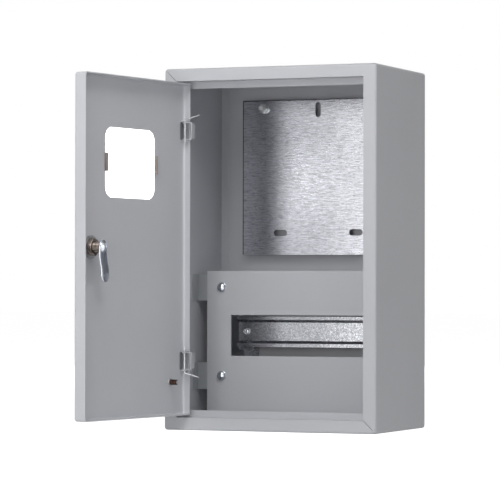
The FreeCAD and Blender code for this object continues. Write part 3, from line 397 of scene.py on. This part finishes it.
def finish_of(node):
    for start, finish in NODE_FINISHES.items():
        if node.startswith(start):
            return FINISHES[finish]
    return FINISHES["powder_coat"]


for name, piece in nodes.items():
    if not piece.material_slots:
        piece.data.materials.append(None)
    for holder in piece.material_slots:
        holder.material = finish_of(name)


# Small fittings

FACING_OUT = Matrix.Rotation(math.radians(90.0), 4, "X")
FACING_IN = Matrix.Rotation(math.radians(-90.0), 4, "X")
OPEN_DOOR = Matrix.Translation(HINGE) @ Matrix.Rotation(-DOOR_OPEN, 4, "Z")


def at(x, y, z):
    return Matrix.Translation(Vector((x, y, z)) * MM)


def finished_mesh(form, name, finish, place, smooth_to=32.0):
    """Turns a bmesh drawn in mm into a placed mesh with one finish."""
    bmesh.ops.recalc_face_normals(form, faces=form.faces)
    bmesh.ops.transform(form, matrix=place @ Matrix.Scale(MM, 4), verts=form.verts)
    mesh = bpy.data.meshes.new(name)
    form.to_mesh(mesh)
    form.free()
    mesh.materials.append(FINISHES[finish])
    mesh.shade_smooth()
    mesh.set_sharp_from_angle(angle=math.radians(smooth_to))
    return mesh


def hand_over(name, mesh, body, slot, *stands_for):
    """Puts a finished mesh in the scene as a piece that rides on a body."""
    piece = bpy.data.objects.new(name, mesh)
    scene.collection.objects.link(piece)
    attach(piece, body)
    if stands_for:
        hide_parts(*stands_for)


def bridge(form, rows, closed=False):
    """Joins equal rings of points with a skin, capped at both ends unless it closes on itself."""
    rings = [[form.verts.new(point) for point in row] for row in rows]
    pairs = list(zip(rings, rings[1:])) + ([(rings[-1], rings[0])] if closed else [])
    for low, high in pairs:
        for i in range(len(low)):
            j = (i + 1) % len(low)
            form.faces.new((low[i], low[j], high[j], high[i]))
    if not closed:
        form.faces.new(rings[0])
        form.faces.new(rings[-1])


TURNED_SIDES = 48


def round_angles(sides):
    return [2.0 * math.pi * i / sides for i in range(sides)]


def turn_on(form, rows):
    """Adds a shape turned about the upright axis from (radius, height) pairs."""
    spokes = round_angles(TURNED_SIDES)
    bridge(form, [[(r * math.cos(a), r * math.sin(a), h) for a in spokes] for r, h in rows])


def turned(rows):
    form = bmesh.new()
    turn_on(form, rows)
    return form


NUT_SIDES = 72
NUT_SEAT, NUT_EASE = 0.95, 0.35
NUT_CHAMFER_ROWS = 5
CHAMFER_RISE = math.sqrt(3.0)
SIXTH = math.radians(60.0)


def chamfered_nut(across, height, bore):
    """A hexagon nut with its corners cut back to a cone at both ends and an eased bore."""
    flat = across / 2
    seat = flat * NUT_SEAT
    cut = (flat / math.cos(SIXTH / 2) - seat) / CHAMFER_RISE
    levels = [cut * i / NUT_CHAMFER_ROWS for i in range(NUT_CHAMFER_ROWS + 1)]
    levels += [height - level for level in reversed(levels)]

    def ring(level, radius=None):
        points = []
        for a in round_angles(NUT_SIDES):
            off = (a + SIXTH / 2) % SIXTH - SIXTH / 2
            reach = radius or flat / math.cos(off)
            reach = min(reach, seat + min(level, height - level) * CHAMFER_RISE)
            points.append((reach * math.cos(a), reach * math.sin(a), level))
        return points

    mouth = bore + NUT_EASE
    rows = [ring(NUT_EASE, bore), ring(0.0, mouth)]
    rows += [ring(level) for level in levels]
    rows += [ring(height, mouth), ring(height - NUT_EASE, bore)]
    form = bmesh.new()
    bridge(form, rows, closed=True)
    return form


class Shaper(Wiring):
    """A geometry tree with named inputs for its sizes, its finish and the piece that it sets."""

    KINDS = {float: "NodeSocketFloat", int: "NodeSocketInt"}

    def __init__(self, name, sizes, others):
        super().__init__(bpy.data.node_groups.new(name, "GeometryNodeTree"))
        face = self.tree.interface
        face.new_socket("Geometry", in_out="OUTPUT", socket_type="NodeSocketGeometry")
        face.new_socket("Geometry", in_out="INPUT", socket_type="NodeSocketGeometry")
        for label, value in sizes.items():
            socket = face.new_socket(label, in_out="INPUT", socket_type=self.KINDS[type(value)])
            socket.default_value = value
        for label, kind in others.items():
            face.new_socket(label, in_out="INPUT", socket_type=kind)
        self.given = self.add("NodeGroupInput").outputs
        self.result = self.add("NodeGroupOutput").inputs["Geometry"]

    def close(self, geometry):
        real = self.add("GeometryNodeRealizeInstances", {"Geometry": geometry}).outputs["Geometry"]
        dressed = self.add("GeometryNodeSetMaterial", {"Geometry": real, "Material": self.given["Finish"]})
        self.put(self.result, dressed.outputs["Geometry"])

    def shape(self, marks, **given):
        """The plain mesh that the tree makes from its marks and inputs."""
        holder = bpy.data.objects.new("shaping", marks)
        scene.collection.objects.link(holder)
        modifier = holder.modifiers.new("shape", "NODES")
        modifier.node_group = self.tree
        for socket in self.tree.interface.items_tree:
            if socket.in_out == "INPUT" and socket.name in given:
                modifier[socket.identifier] = given[socket.name]
        shown = holder.evaluated_get(bpy.context.evaluated_depsgraph_get())
        mesh = bpy.data.meshes.new_from_object(shown)
        bpy.data.objects.remove(holder)
        return mesh


THREAD_SIDES = 40
ROWS_PER_TURN = 8
MERGE_WITHIN = 1e-7


def thread_shaper():
    """A threaded shank on the origin: a sheet rolled round, and pulled in along a helix and at the point."""
    sizes = {
        "Radius": 3.0 * MM, "Depth": 0.4 * MM, "Pitch": 1.0 * MM, "Length": 10.0 * MM, "Point": 0.8 * MM,
        "Rows": 80,
    }
    s = Shaper("threaded_shank", sizes, {"Finish": "NodeSocketMaterial"})
    given = s.given
    counts = {"Size X": 1.0, "Size Y": 1.0, "Vertices X": THREAD_SIDES + 1, "Vertices Y": given["Rows"]}
    sheet = s.add("GeometryNodeMeshGrid", counts).outputs["Mesh"]
    spot = s.add("GeometryNodeInputPosition").outputs["Position"]
    flat = s.add("ShaderNodeSeparateXYZ", {"Vector": spot}).outputs
    turn = s.math("ADD", flat["X"], 0.5)
    height = s.math("MULTIPLY", s.math("ADD", flat["Y"], 0.5), given["Length"])
    flank = s.math("PINGPONG", s.math("SUBTRACT", s.math("DIVIDE", height, given["Pitch"]), turn), 0.5)
    groove = s.math("MULTIPLY", s.math("MULTIPLY", flank, 2.0), given["Depth"])
    past = s.math("SUBTRACT", height, s.math("SUBTRACT", given["Length"], given["Point"]))
    inward = s.math("MAXIMUM", groove, past)
    radius = s.math("SUBTRACT", given["Radius"], inward)
    angle = s.math("MULTIPLY", turn, 2.0 * math.pi)
    x = s.math("MULTIPLY", radius, s.math("COSINE", angle))
    y = s.math("MULTIPLY", radius, s.math("SINE", angle))
    rolled = s.add("ShaderNodeCombineXYZ", {"X": x, "Y": y, "Z": height}).outputs["Vector"]
    skin = s.add("GeometryNodeSetPosition", {"Geometry": sheet, "Position": rolled}).outputs["Geometry"]
    smooth = s.add("GeometryNodeSetShadeSmooth", {"Geometry": skin}).outputs["Geometry"]
    tip = s.math("SUBTRACT", given["Radius"], given["Point"])
    cap = s.add("GeometryNodeMeshCircle", {"Vertices": THREAD_SIDES, "Radius": tip}, fill_type="NGON")
    top = s.add("ShaderNodeCombineXYZ", {"Z": given["Length"]}).outputs["Vector"]
    lifted = {"Geometry": cap.outputs["Mesh"], "Translation": top}
    end = s.add("GeometryNodeTransform", lifted).outputs["Geometry"]
    both = s.add("GeometryNodeJoinGeometry")
    for geometry in (end, smooth):
        s.tree.links.new(geometry, both.inputs["Geometry"])
    seams = {"Geometry": both.outputs["Geometry"], "Distance": MERGE_WITHIN}
    s.close(s.add("GeometryNodeMergeByDistance", seams).outputs["Geometry"])
    return s


def marks_shaper():
    """Sets one piece on every mark."""
    s = Shaper("set_on_marks", {}, {"Piece": "NodeSocketObject", "Finish": "NodeSocketMaterial"})
    piece = s.add("GeometryNodeObjectInfo", {"Object": s.given["Piece"]}).outputs["Geometry"]
    sockets = {"Points": s.given["Geometry"], "Instance": piece}
    s.close(s.add("GeometryNodeInstanceOnPoints", sockets).outputs["Instances"])
    return s


THREAD = thread_shaper()
ON_MARKS = marks_shaper()


def threaded(name, finish, place, length, radius=3.0, depth=0.4, pitch=1.0, point=0.7):
    """A threaded shank that stands where its place says; a 6 mm thread unless other sizes are given."""
    rows = int(length / pitch * ROWS_PER_TURN) + 1
    mesh = THREAD.shape(
        bpy.data.meshes.new(name), Radius=radius * MM, Depth=depth * MM, Pitch=pitch * MM,
        Length=length * MM, Point=point * MM, Rows=rows, Finish=FINISHES[finish],
    )
    mesh.transform(place)
    return mesh


def repeated(name, pattern, points, finish):
    """One mesh with the pattern piece on every point, in metres."""
    marks = bpy.data.meshes.new(name)
    marks.from_pydata(points, [], [])
    model = bpy.data.objects.new("pattern", pattern)
    scene.collection.objects.link(model)
    mesh = ON_MARKS.shape(marks, Piece=model, Finish=FINISHES[finish])
    bpy.data.objects.remove(model)
    return mesh


# Window

WINDOW_X, WINDOW_Z = 104.5, 91.0
PLUG_HALF_W, PLUG_HALF_H, PLUG_R = 48.7, 37.2, 11.7
# From the outside in: how far each ring of the pane stands out past its plug, and its depth on the door
PANE_PROFILE = (
    (2.7, -6.2), (3.15, -6.02), (3.3, -5.6), (3.3, -5.02), (0.0, -5.02), (0.0, -4.5), (-0.3, -4.2),
)
CORNER_STEPS = 10
CORNERS = ((1, 1), (-1, 1), (-1, -1), (1, -1))


def rounded_corners(half_w, half_h, radius, steps):
    """The outline of a rectangle about the origin, with rounded corners."""
    points = []
    for i, (side, rise) in enumerate(CORNERS):
        for k in range(steps + 1):
            a = math.radians(90.0) * (i + k / steps)
            x = side * (half_w - radius) + radius * math.cos(a)
            points.append((x, rise * (half_h - radius) + radius * math.sin(a)))
    return points


def window_pane():
    """The clear pane: a flange with an eased rim outside, and a plug that fills the opening."""
    rows = []
    for out, y in PANE_PROFILE:
        ring = rounded_corners(PLUG_HALF_W + out, PLUG_HALF_H + out, PLUG_R + out, CORNER_STEPS)
        rows.append([(WINDOW_X + x, y, WINDOW_Z + z) for x, z in ring])
    form = bmesh.new()
    bridge(form, rows)
    mesh = finished_mesh(form, "pane", "clear_pane", OPEN_DOOR)
    hand_over("pane", mesh, "door", "clear_pane", "window_pane")


LUG_OUTLINE = (
    (-0.7, -4.15), (-0.7, -0.5), (-0.4, -0.2), (0.2, -0.2), (0.6, -0.5),
    (1.5, -2.2), (1.5, -3.5), (1.3, -3.7), (0.0, -3.7), (0.0, -4.15),
)
LUG_HALF, LUG_EASE, LUG_SHRINK = 10.0, 0.2, 0.06


def pane_lugs():
    """The two smoked snap lugs that hook over the door sheet."""
    form = bmesh.new()
    straight = LUG_HALF - LUG_EASE
    levels = ((-LUG_HALF, LUG_SHRINK), (-straight, 0.0), (straight, 0.0), (LUG_HALF, LUG_SHRINK))
    for side in (-1, 1):
        edge = WINDOW_X + PLUG_HALF_W * side
        rows = []
        for z, shrink in levels:
            reach = side * (1.0 - shrink)
            rows.append([(edge + reach * x, y - shrink, WINDOW_Z + z) for x, y in LUG_OUTLINE])
        bridge(form, rows)
    hand_over("pane_lugs", finished_mesh(form, "pane_lugs", "smoked_lug", OPEN_DOOR), "door", "clear_pane")


# Hinge pins

PIN_R = 0.95
PIN_EASE = 0.3
PIN_SIDES = 20
TAIL_X = 17.6
TAIL_RADII = (0.85, 0.75, 0.65)
# Across and up from the start of the bend
BEND = ((0.0, 0.0), (0.12, 0.5), (0.5, 0.9), (1.0, 1.15))


def hinge_pin(hand, level, flip, foot, bend, tip):
    """A wire pin that runs from its foot up through the ears, then bends over to a tail."""
    path = [(0.0, foot)] + [(x, bend + z) for x, z in BEND] + [(TAIL_X, tip)]
    stations = [Vector((x, 0.0, z)) for x, z in path]
    radii = [PIN_R] * (len(path) - len(TAIL_RADII)) + list(TAIL_RADII)
    last = len(path) - 1
    rows = []
    for i, here in enumerate(stations):
        along = (stations[min(i + 1, last)] - stations[max(i - 1, 0)]).normalized()
        across = Vector((along.z, 0.0, -along.x))
        ring = [across * math.cos(a) + Vector((0.0, math.sin(a), 0.0)) for a in round_angles(PIN_SIDES)]
        eased = [here + spoke * (radii[i] - PIN_EASE) for spoke in ring]
        full = [here + spoke * radii[i] for spoke in ring]
        if i == 0:
            rows += [eased, [point + along * PIN_EASE for point in full]]
        elif i == last:
            rows += [[point - along * PIN_EASE for point in full], eased]
        else:
            rows.append(full)
    form = bmesh.new()
    bridge(form, rows)
    place = Matrix.Translation(HINGE) @ at(0.0, 0.0, level)
    if flip:
        place = place @ Matrix.Rotation(math.pi, 4, "X")
    name = f"pin_{hand}"
    hand_over(name, finished_mesh(form, name, "pin_zinc", place), "cabinet", "zinc", f"hinge_pin_{hand}")


# Lock

LOCK = OPEN_DOOR @ at(181.5, -5.0, 0.0)
BARREL_R, BARREL_LENGTH = 5.5, 16.0
BEZEL_PROFILE = (
    (4.06, 0.0), (4.06, 2.7), (4.4, 3.0), (4.9, 3.0), (5.3, 2.75), (8.7, 2.7), (9.2, 2.95), (10.0, 3.0),
    (10.5, 2.87), (10.87, 2.5), (11.0, 2.0), (11.0, 0.0),
)
RING_NUT_IN, RING_NUT_ACROSS, RING_NUT_T = 2.8, 17.0, 4.6
RING_NUT_TURN = math.radians(17.0)
NUT_SMOOTH = 24.0


def lock_bezel_and_barrel():
    """The lock's dished bezel outside the door and its threaded barrel through it."""
    mesh = finished_mesh(turned(BEZEL_PROFILE), "lock_bezel", "cam_chrome", LOCK @ FACING_OUT)
    hand_over("lock_bezel", mesh, "door", "chrome", "lock_housing")
    place = LOCK @ FACING_IN
    mesh = threaded("lock_barrel", "yellow_passivate", place, BARREL_LENGTH, radius=BARREL_R, depth=0.45)
    hand_over("lock_barrel", mesh, "door", "yellow_zinc")


def lock_ring_nut():
    place = LOCK @ at(0.0, RING_NUT_IN, 0.0) @ FACING_IN @ Matrix.Rotation(RING_NUT_TURN, 4, "Z")
    nut = chamfered_nut(RING_NUT_ACROSS, RING_NUT_T, BARREL_R)
    mesh = finished_mesh(nut, "lock_ring_nut", "yellow_passivate", place, NUT_SMOOTH)
    hand_over("lock_ring_nut", mesh, "door", "yellow_zinc", "lock_nut")


CAM_HALF, CAM_LENGTH, CAM_T = 7.25, 37.0, 1.6
CAM_EASE, CAM_EASE_SHARE = 0.6, 0.8
CAM_CRANK, CRANK_START, CRANK_RUN = 2.6, 7.0, 20.0
CAM_IN = 16.3
CAM_RUN_INS = (0.01, 0.1, 0.3, 0.6, 1.0, 1.6, 2.4, 3.4, 4.6, 6.0)
CAM_STRAIGHT_ROWS, CAM_EDGE_STEPS = 16, 4
DOME_SKIRT = ((5.8, 0.0), (5.8, 0.25), (5.6, 0.5), (4.75, 0.55))
DOME_R, DOME_TOP, DOME_HALF, DOME_ROWS = 7.1, 2.2, math.radians(40.0), 9


def cam_ring(z, run_in):
    """One level ring of the cam: a strip with rounded edges, narrower as it runs in to either end."""
    half = math.sqrt(CAM_HALF ** 2 - (CAM_HALF - run_in) ** 2)
    thick = CAM_T / 2
    if run_in < CAM_EASE:
        thick += math.sqrt(CAM_EASE ** 2 - (CAM_EASE - run_in) ** 2) - CAM_EASE
    ease = min(CAM_EASE, half * CAM_EASE_SHARE, thick * CAM_EASE_SHARE)
    share = min(max((-z - CRANK_START) / CRANK_RUN, 0.0), 1.0)
    middle = CAM_T / 2 + CAM_CRANK * share * share * (3.0 - 2.0 * share)
    return [(x, middle + y, z) for x, y in rounded_corners(half, thick, ease, CAM_EDGE_STEPS)]


def lock_cam():
    """The cranked cam with its rolled edges, and the domed screw on its skirt."""
    straight = [-(CAM_LENGTH - CAM_HALF) * i / CAM_STRAIGHT_ROWS for i in range(CAM_STRAIGHT_ROWS + 1)]
    rows = [cam_ring(CAM_HALF - run_in, run_in) for run_in in CAM_RUN_INS]
    rows += [cam_ring(z, CAM_HALF) for z in straight]
    rows += [cam_ring(run_in - CAM_LENGTH, run_in) for run_in in reversed(CAM_RUN_INS)]
    form = bmesh.new()
    bridge(form, rows)
    place = LOCK @ at(0.0, CAM_IN, 0.0)
    mesh = finished_mesh(form, "cranked_cam", "cam_chrome", place)
    hand_over("cranked_cam", mesh, "lock", "chrome", "lock_cam")
    profile = list(DOME_SKIRT)
    for i in range(1, DOME_ROWS):
        a = DOME_HALF * (1.0 - i / DOME_ROWS)
        profile.append((DOME_R * math.sin(a), DOME_TOP - DOME_R * (1.0 - math.cos(a))))
    mesh = finished_mesh(turned(profile), "cam_dome", "cam_chrome", place @ at(0.0, CAM_T, 0.0) @ FACING_IN)
    hand_over("cam_dome", mesh, "lock", "chrome", "cam_screw")


# Studs

WELD_COLLAR = ((4.0, 0.0), (4.0, 0.45), (3.85, 0.7), (3.5, 0.8), (2.7, 0.8), (2.7, 0.0))
PALE_END_T = 0.05
# Radius, and depth under the stud's top, of its pale end
PALE_END = ((2.43, PALE_END_T), (2.35, 0.0), (0.4, 0.02))


def earth_stud(name, place, top, body, node):
    """A dull threaded earth stud with a pale weld collar at its foot and a pale end."""
    shank, ends = f"{name}_shank", f"{name}_ends"
    mesh = threaded(shank, "dull_copper", place, top - PALE_END_T, depth=0.42, point=0.55)
    hand_over(shank, mesh, body, "copper", node)
    form = turned(WELD_COLLAR)
    turn_on(form, [(radius, top - under) for radius, under in PALE_END])
    hand_over(ends, finished_mesh(form, ends, "pin_zinc", place), body, "zinc")


DOOR_STUD = OPEN_DOOR @ at(23.8, -3.8, -146.5) @ FACING_IN
DOOR_STUD_TOP = 10.0


def stud_place(node):
    """Where a stud of the cabinet stands on the back panel, and its length in mm."""
    low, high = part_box(node)
    middle = (low + high) / 2
    return Vector((middle.x, high.y, middle.z)), (high.y - low.y) / MM


def cabinet_earth():
    foot, length = stud_place("cabinet_earth_stud")
    place = Matrix.Translation(foot) @ FACING_OUT
    earth_stud("cabinet_stud", place, length, "cabinet", "cabinet_earth_stud")


PLATE_NUT_ACROSS, PLATE_NUT_T, PLATE_NUT_BORE = 10.0, 5.0, 3.0
PLATE_NUT_TURN = math.radians(20.0)


def plate_studs_and_nuts():
    """Two threaded studs that carry the meter plate, with their chamfered nuts."""
    points = []
    for hand in ("left", "right"):
        foot, length = stud_place(f"plate_stud_{hand}")
        name = f"threaded_stud_{hand}"
        mesh = threaded(name, "pin_zinc", Matrix.Translation(foot) @ FACING_OUT, length)
        hand_over(name, mesh, "cabinet", "zinc", f"plate_stud_{hand}")
        points.append((foot.x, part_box(f"plate_nut_{hand}")[1].y, foot.z))
    turn = FACING_OUT @ Matrix.Rotation(PLATE_NUT_TURN, 4, "Z")
    nut = chamfered_nut(PLATE_NUT_ACROSS, PLATE_NUT_T, PLATE_NUT_BORE)
    pattern = finished_mesh(nut, "plate_nut", "washer_steel", turn, NUT_SMOOTH)
    mesh = repeated("plate_nuts", pattern, points, "washer_steel")
    hand_over("plate_nuts", mesh, "cabinet", "zinc", "plate_nut_left", "plate_nut_right")


# Breaker cover

BAFFLE_DOWN, BAFFLE_T, BAFFLE_FOLD = 26.0, 1.0, 12.0
BAFFLE_HALF, BAFFLE_NOSE = 123.2, 84.0
BAFFLE_FRONT, BAFFLE_REAR = 1.4, 1.2
BRACKET_REAR = 17.5


def cover_baffle():
    """The sheet behind the breaker cover, cut back round the brackets and folded at the rear."""
    low, high = (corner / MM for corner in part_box("breaker_cover"))
    top = high.z - BAFFLE_DOWN
    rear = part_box("back_panel")[0].y / MM - BAFFLE_REAR
    front, shoulder = low.y + BAFFLE_FRONT, low.y + BRACKET_REAR
    plan = [
        (-BAFFLE_HALF, rear), (-BAFFLE_HALF, shoulder), (-BAFFLE_NOSE, shoulder), (-BAFFLE_NOSE, front),
        (BAFFLE_NOSE, front), (BAFFLE_NOSE, shoulder), (BAFFLE_HALF, shoulder), (BAFFLE_HALF, rear),
    ]
    form = bmesh.new()
    bridge(form, [[(x, y, z) for x, y in plan] for z in (top - BAFFLE_T, top)])
    fold = [
        (rear - BAFFLE_T, top - BAFFLE_T), (rear, top - BAFFLE_T), (rear, top - BAFFLE_FOLD),
        (rear - BAFFLE_T, top - BAFFLE_FOLD),
    ]
    bridge(form, [[(x, y, z) for y, z in fold] for x in (-BAFFLE_HALF, BAFFLE_HALF)])
    mesh = finished_mesh(form, "cover_baffle", "powder_coat", Matrix.Identity(4))
    hand_over("cover_baffle", mesh, "cabinet", "powder_coat")


HEAD_COLLAR = ((5.3, 0.0), (5.5, 0.25), (5.5, 0.7), (5.2, 0.95))
HEAD_RISE, HEAD_ROWS, HEAD_STEP = 3.7, 11, math.radians(7.8)
SCREW_R, SCREW_DEPTH, SCREW_PITCH, SCREW_POINT = 2.0, 0.3, 0.7, 0.5


def cover_screws():
    """Four round-headed screws, each with its collar and threaded shank."""
    names = [f"cover_screw_{row}_{side}" for row in ("upper", "lower") for side in ("left", "right")]
    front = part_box("breaker_cover")[0].y
    boxes = [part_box(name) for name in names]
    points = [((low.x + high.x) / 2, front, (low.z + high.z) / 2) for low, high in boxes]
    profile = list(HEAD_COLLAR)
    dome_r, dome_foot = HEAD_COLLAR[-1]
    for i in range(1, HEAD_ROWS + 1):
        a = HEAD_STEP * i
        profile.append((dome_r * math.cos(a), dome_foot + HEAD_RISE * math.sin(a)))
    head = finished_mesh(turned(profile), "cover_screw_head", "cam_chrome", FACING_OUT)
    mesh = repeated("cover_screw_heads", head, points, "cam_chrome")
    hand_over("cover_screw_heads", mesh, "cabinet", "zinc", *names)
    length = (boxes[0][1].y - front) / MM
    shank = threaded(
        "cover_screw_shank", "bright_zinc", FACING_IN, length,
        radius=SCREW_R, depth=SCREW_DEPTH, pitch=SCREW_PITCH, point=SCREW_POINT,
    )
    mesh = repeated("cover_screw_shanks", shank, points, "bright_zinc")
    hand_over("cover_screw_shanks", mesh, "cabinet", "zinc")


window_pane()
pane_lugs()
cover_baffle()
cover_screws()
hinge_pin("upper", UPPER_HINGE, flip=False, foot=-13.6, bend=11.6, tip=17.5)
hinge_pin("lower", LOWER_HINGE, flip=True, foot=-16.2, bend=12.6, tip=18.2)
lock_bezel_and_barrel()
lock_ring_nut()
lock_cam()
earth_stud("door_stud", DOOR_STUD, DOOR_STUD_TOP, "door", "door_earth_stud")
cabinet_earth()
plate_studs_and_nuts()


# Stage, light and camera

WHITE = (1.0, 1.0, 1.0, 1.0)


def white_for_view(tree, strength, socket):
    """Gives a glow to the eye, in reflections and through the pane, and none on surfaces."""
    w = Wiring(tree)
    rays = w.add("ShaderNodeLightPath").outputs
    seen = w.math("MAXIMUM", rays["Is Camera Ray"], rays["Is Glossy Ray"])
    seen = w.math("MAXIMUM", seen, rays["Is Transmission Ray"])
    w.put(socket, w.math("MULTIPLY", seen, strength))


def make_world():
    world = bpy.data.worlds.new("studio")
    world.use_nodes = True
    sky = world.node_tree.nodes["Background"].inputs
    sky["Color"].default_value = WHITE
    white_for_view(world.node_tree, 1.0, sky["Strength"])
    scene.world = world


FLOOR_SIZE = 30.0
FLOOR_GREY = (0.8, 0.8, 0.8, 1.0)
FLOOR_GLOW = 0.993


def make_floor():
    """A white floor that is all but shadowless to the eye."""
    mesh = bpy.data.meshes.new("floor")
    half = FLOOR_SIZE / 2
    corners = [(x * half, y * half, FLOOR_Z) for x, y in CORNERS]
    mesh.from_pydata(corners, [], [(0, 1, 2, 3)])
    floor = bpy.data.objects.new("floor", mesh)
    scene.collection.objects.link(floor)
    material = bpy.data.materials.new("floor_white")
    material.use_nodes = True
    paper = material.node_tree.nodes["Principled BSDF"].inputs
    paper["Base Color"].default_value = FLOOR_GREY
    paper["Roughness"].default_value = 1.0
    paper["Specular IOR Level"].default_value = 0.0
    paper["Emission Color"].default_value = WHITE
    white_for_view(material.node_tree, FLOOR_GLOW, paper["Emission Strength"])
    mesh.materials.append(material)


# Degrees round to the right from straight ahead, degrees up, distance, size, strength, mirrored in metal
LAMPS = {
    "lamp_left": (-45.0, 4.0, 2.6, 1.4, 0.25, False),
    "lamp_front": (-15.0, 12.0, 2.6, 1.4, 0.09, False),
    "lamp_near": (2.0, 2.0, 1.4, 0.5, 0.18, True),
    "lamp_above": (6.0, 48.0, 0.9, 0.6, 0.27, True),
    "lamp_high": (32.0, 48.0, 1.7, 0.8, 0.22, True),
    "lamp_side": (84.0, 8.0, 2.6, 1.4, 0.18, True),
    "lamp_back": (-152.0, 16.0, 2.6, 1.4, 0.30, False),
}
LAMP_AIM = Vector((0.0, -0.12, 0.0))


def make_lamps():
    """Soft boxes; a strength of 1 lights a surface square to the lamp to its own colour."""
    for name, (side, up, distance, size, strength, mirrored) in LAMPS.items():
        a, e = math.radians(side), math.radians(up)
        towards = Vector((math.sin(a) * math.cos(e), -math.cos(a) * math.cos(e), math.sin(e)))
        light = bpy.data.lights.new(name, "AREA")
        light.shape = "SQUARE"
        light.size = size
        light.energy = strength * (math.pi * distance) ** 2
        lamp = bpy.data.objects.new(name, light)
        lamp.location = LAMP_AIM + towards * distance
        lamp.rotation_euler = towards.to_track_quat("Z", "Y").to_euler()
        lamp.visible_camera = False
        lamp.visible_glossy = mirrored
        scene.collection.objects.link(lamp)


EYE = Vector((1170.648, -3015.029, -45.843)) * MM
YAW, PITCH, ROLL = 0.39572, 0.01444, 0.00189
FOCAL_PIXELS = 2825.5
FRAME_PIXELS = 500.0
SENSOR_MM = 36.0
CLIP_END = 100.0


def make_camera():
    """The camera that was fitted to the cabinet's corners, with its focal length eased to the outer edges."""
    ahead = Vector((-math.sin(YAW), math.cos(YAW), 0.0))
    right = Vector((math.cos(YAW), math.sin(YAW), 0.0))
    up = Vector((0.0, 0.0, 1.0))
    look = ahead * math.cos(PITCH) + up * math.sin(PITCH)
    above = up * math.cos(PITCH) - ahead * math.sin(PITCH)
    side = right * math.cos(ROLL) + above * math.sin(ROLL)
    above = above * math.cos(ROLL) - right * math.sin(ROLL)
    data = bpy.data.cameras.new("camera")
    data.sensor_width = SENSOR_MM
    data.lens = FOCAL_PIXELS / FRAME_PIXELS * SENSOR_MM
    data.clip_end = CLIP_END
    camera = bpy.data.objects.new("camera", data)
    turn = Matrix((side, above, -look)).transposed()
    camera.matrix_world = Matrix.Translation(EYE) @ turn.to_4x4()
    scene.collection.objects.link(camera)
    scene.camera = camera


make_world()
make_floor()
make_lamps()
make_camera()
scene.view_settings.view_transform = "Standard"

bpy.context.view_layer.update()
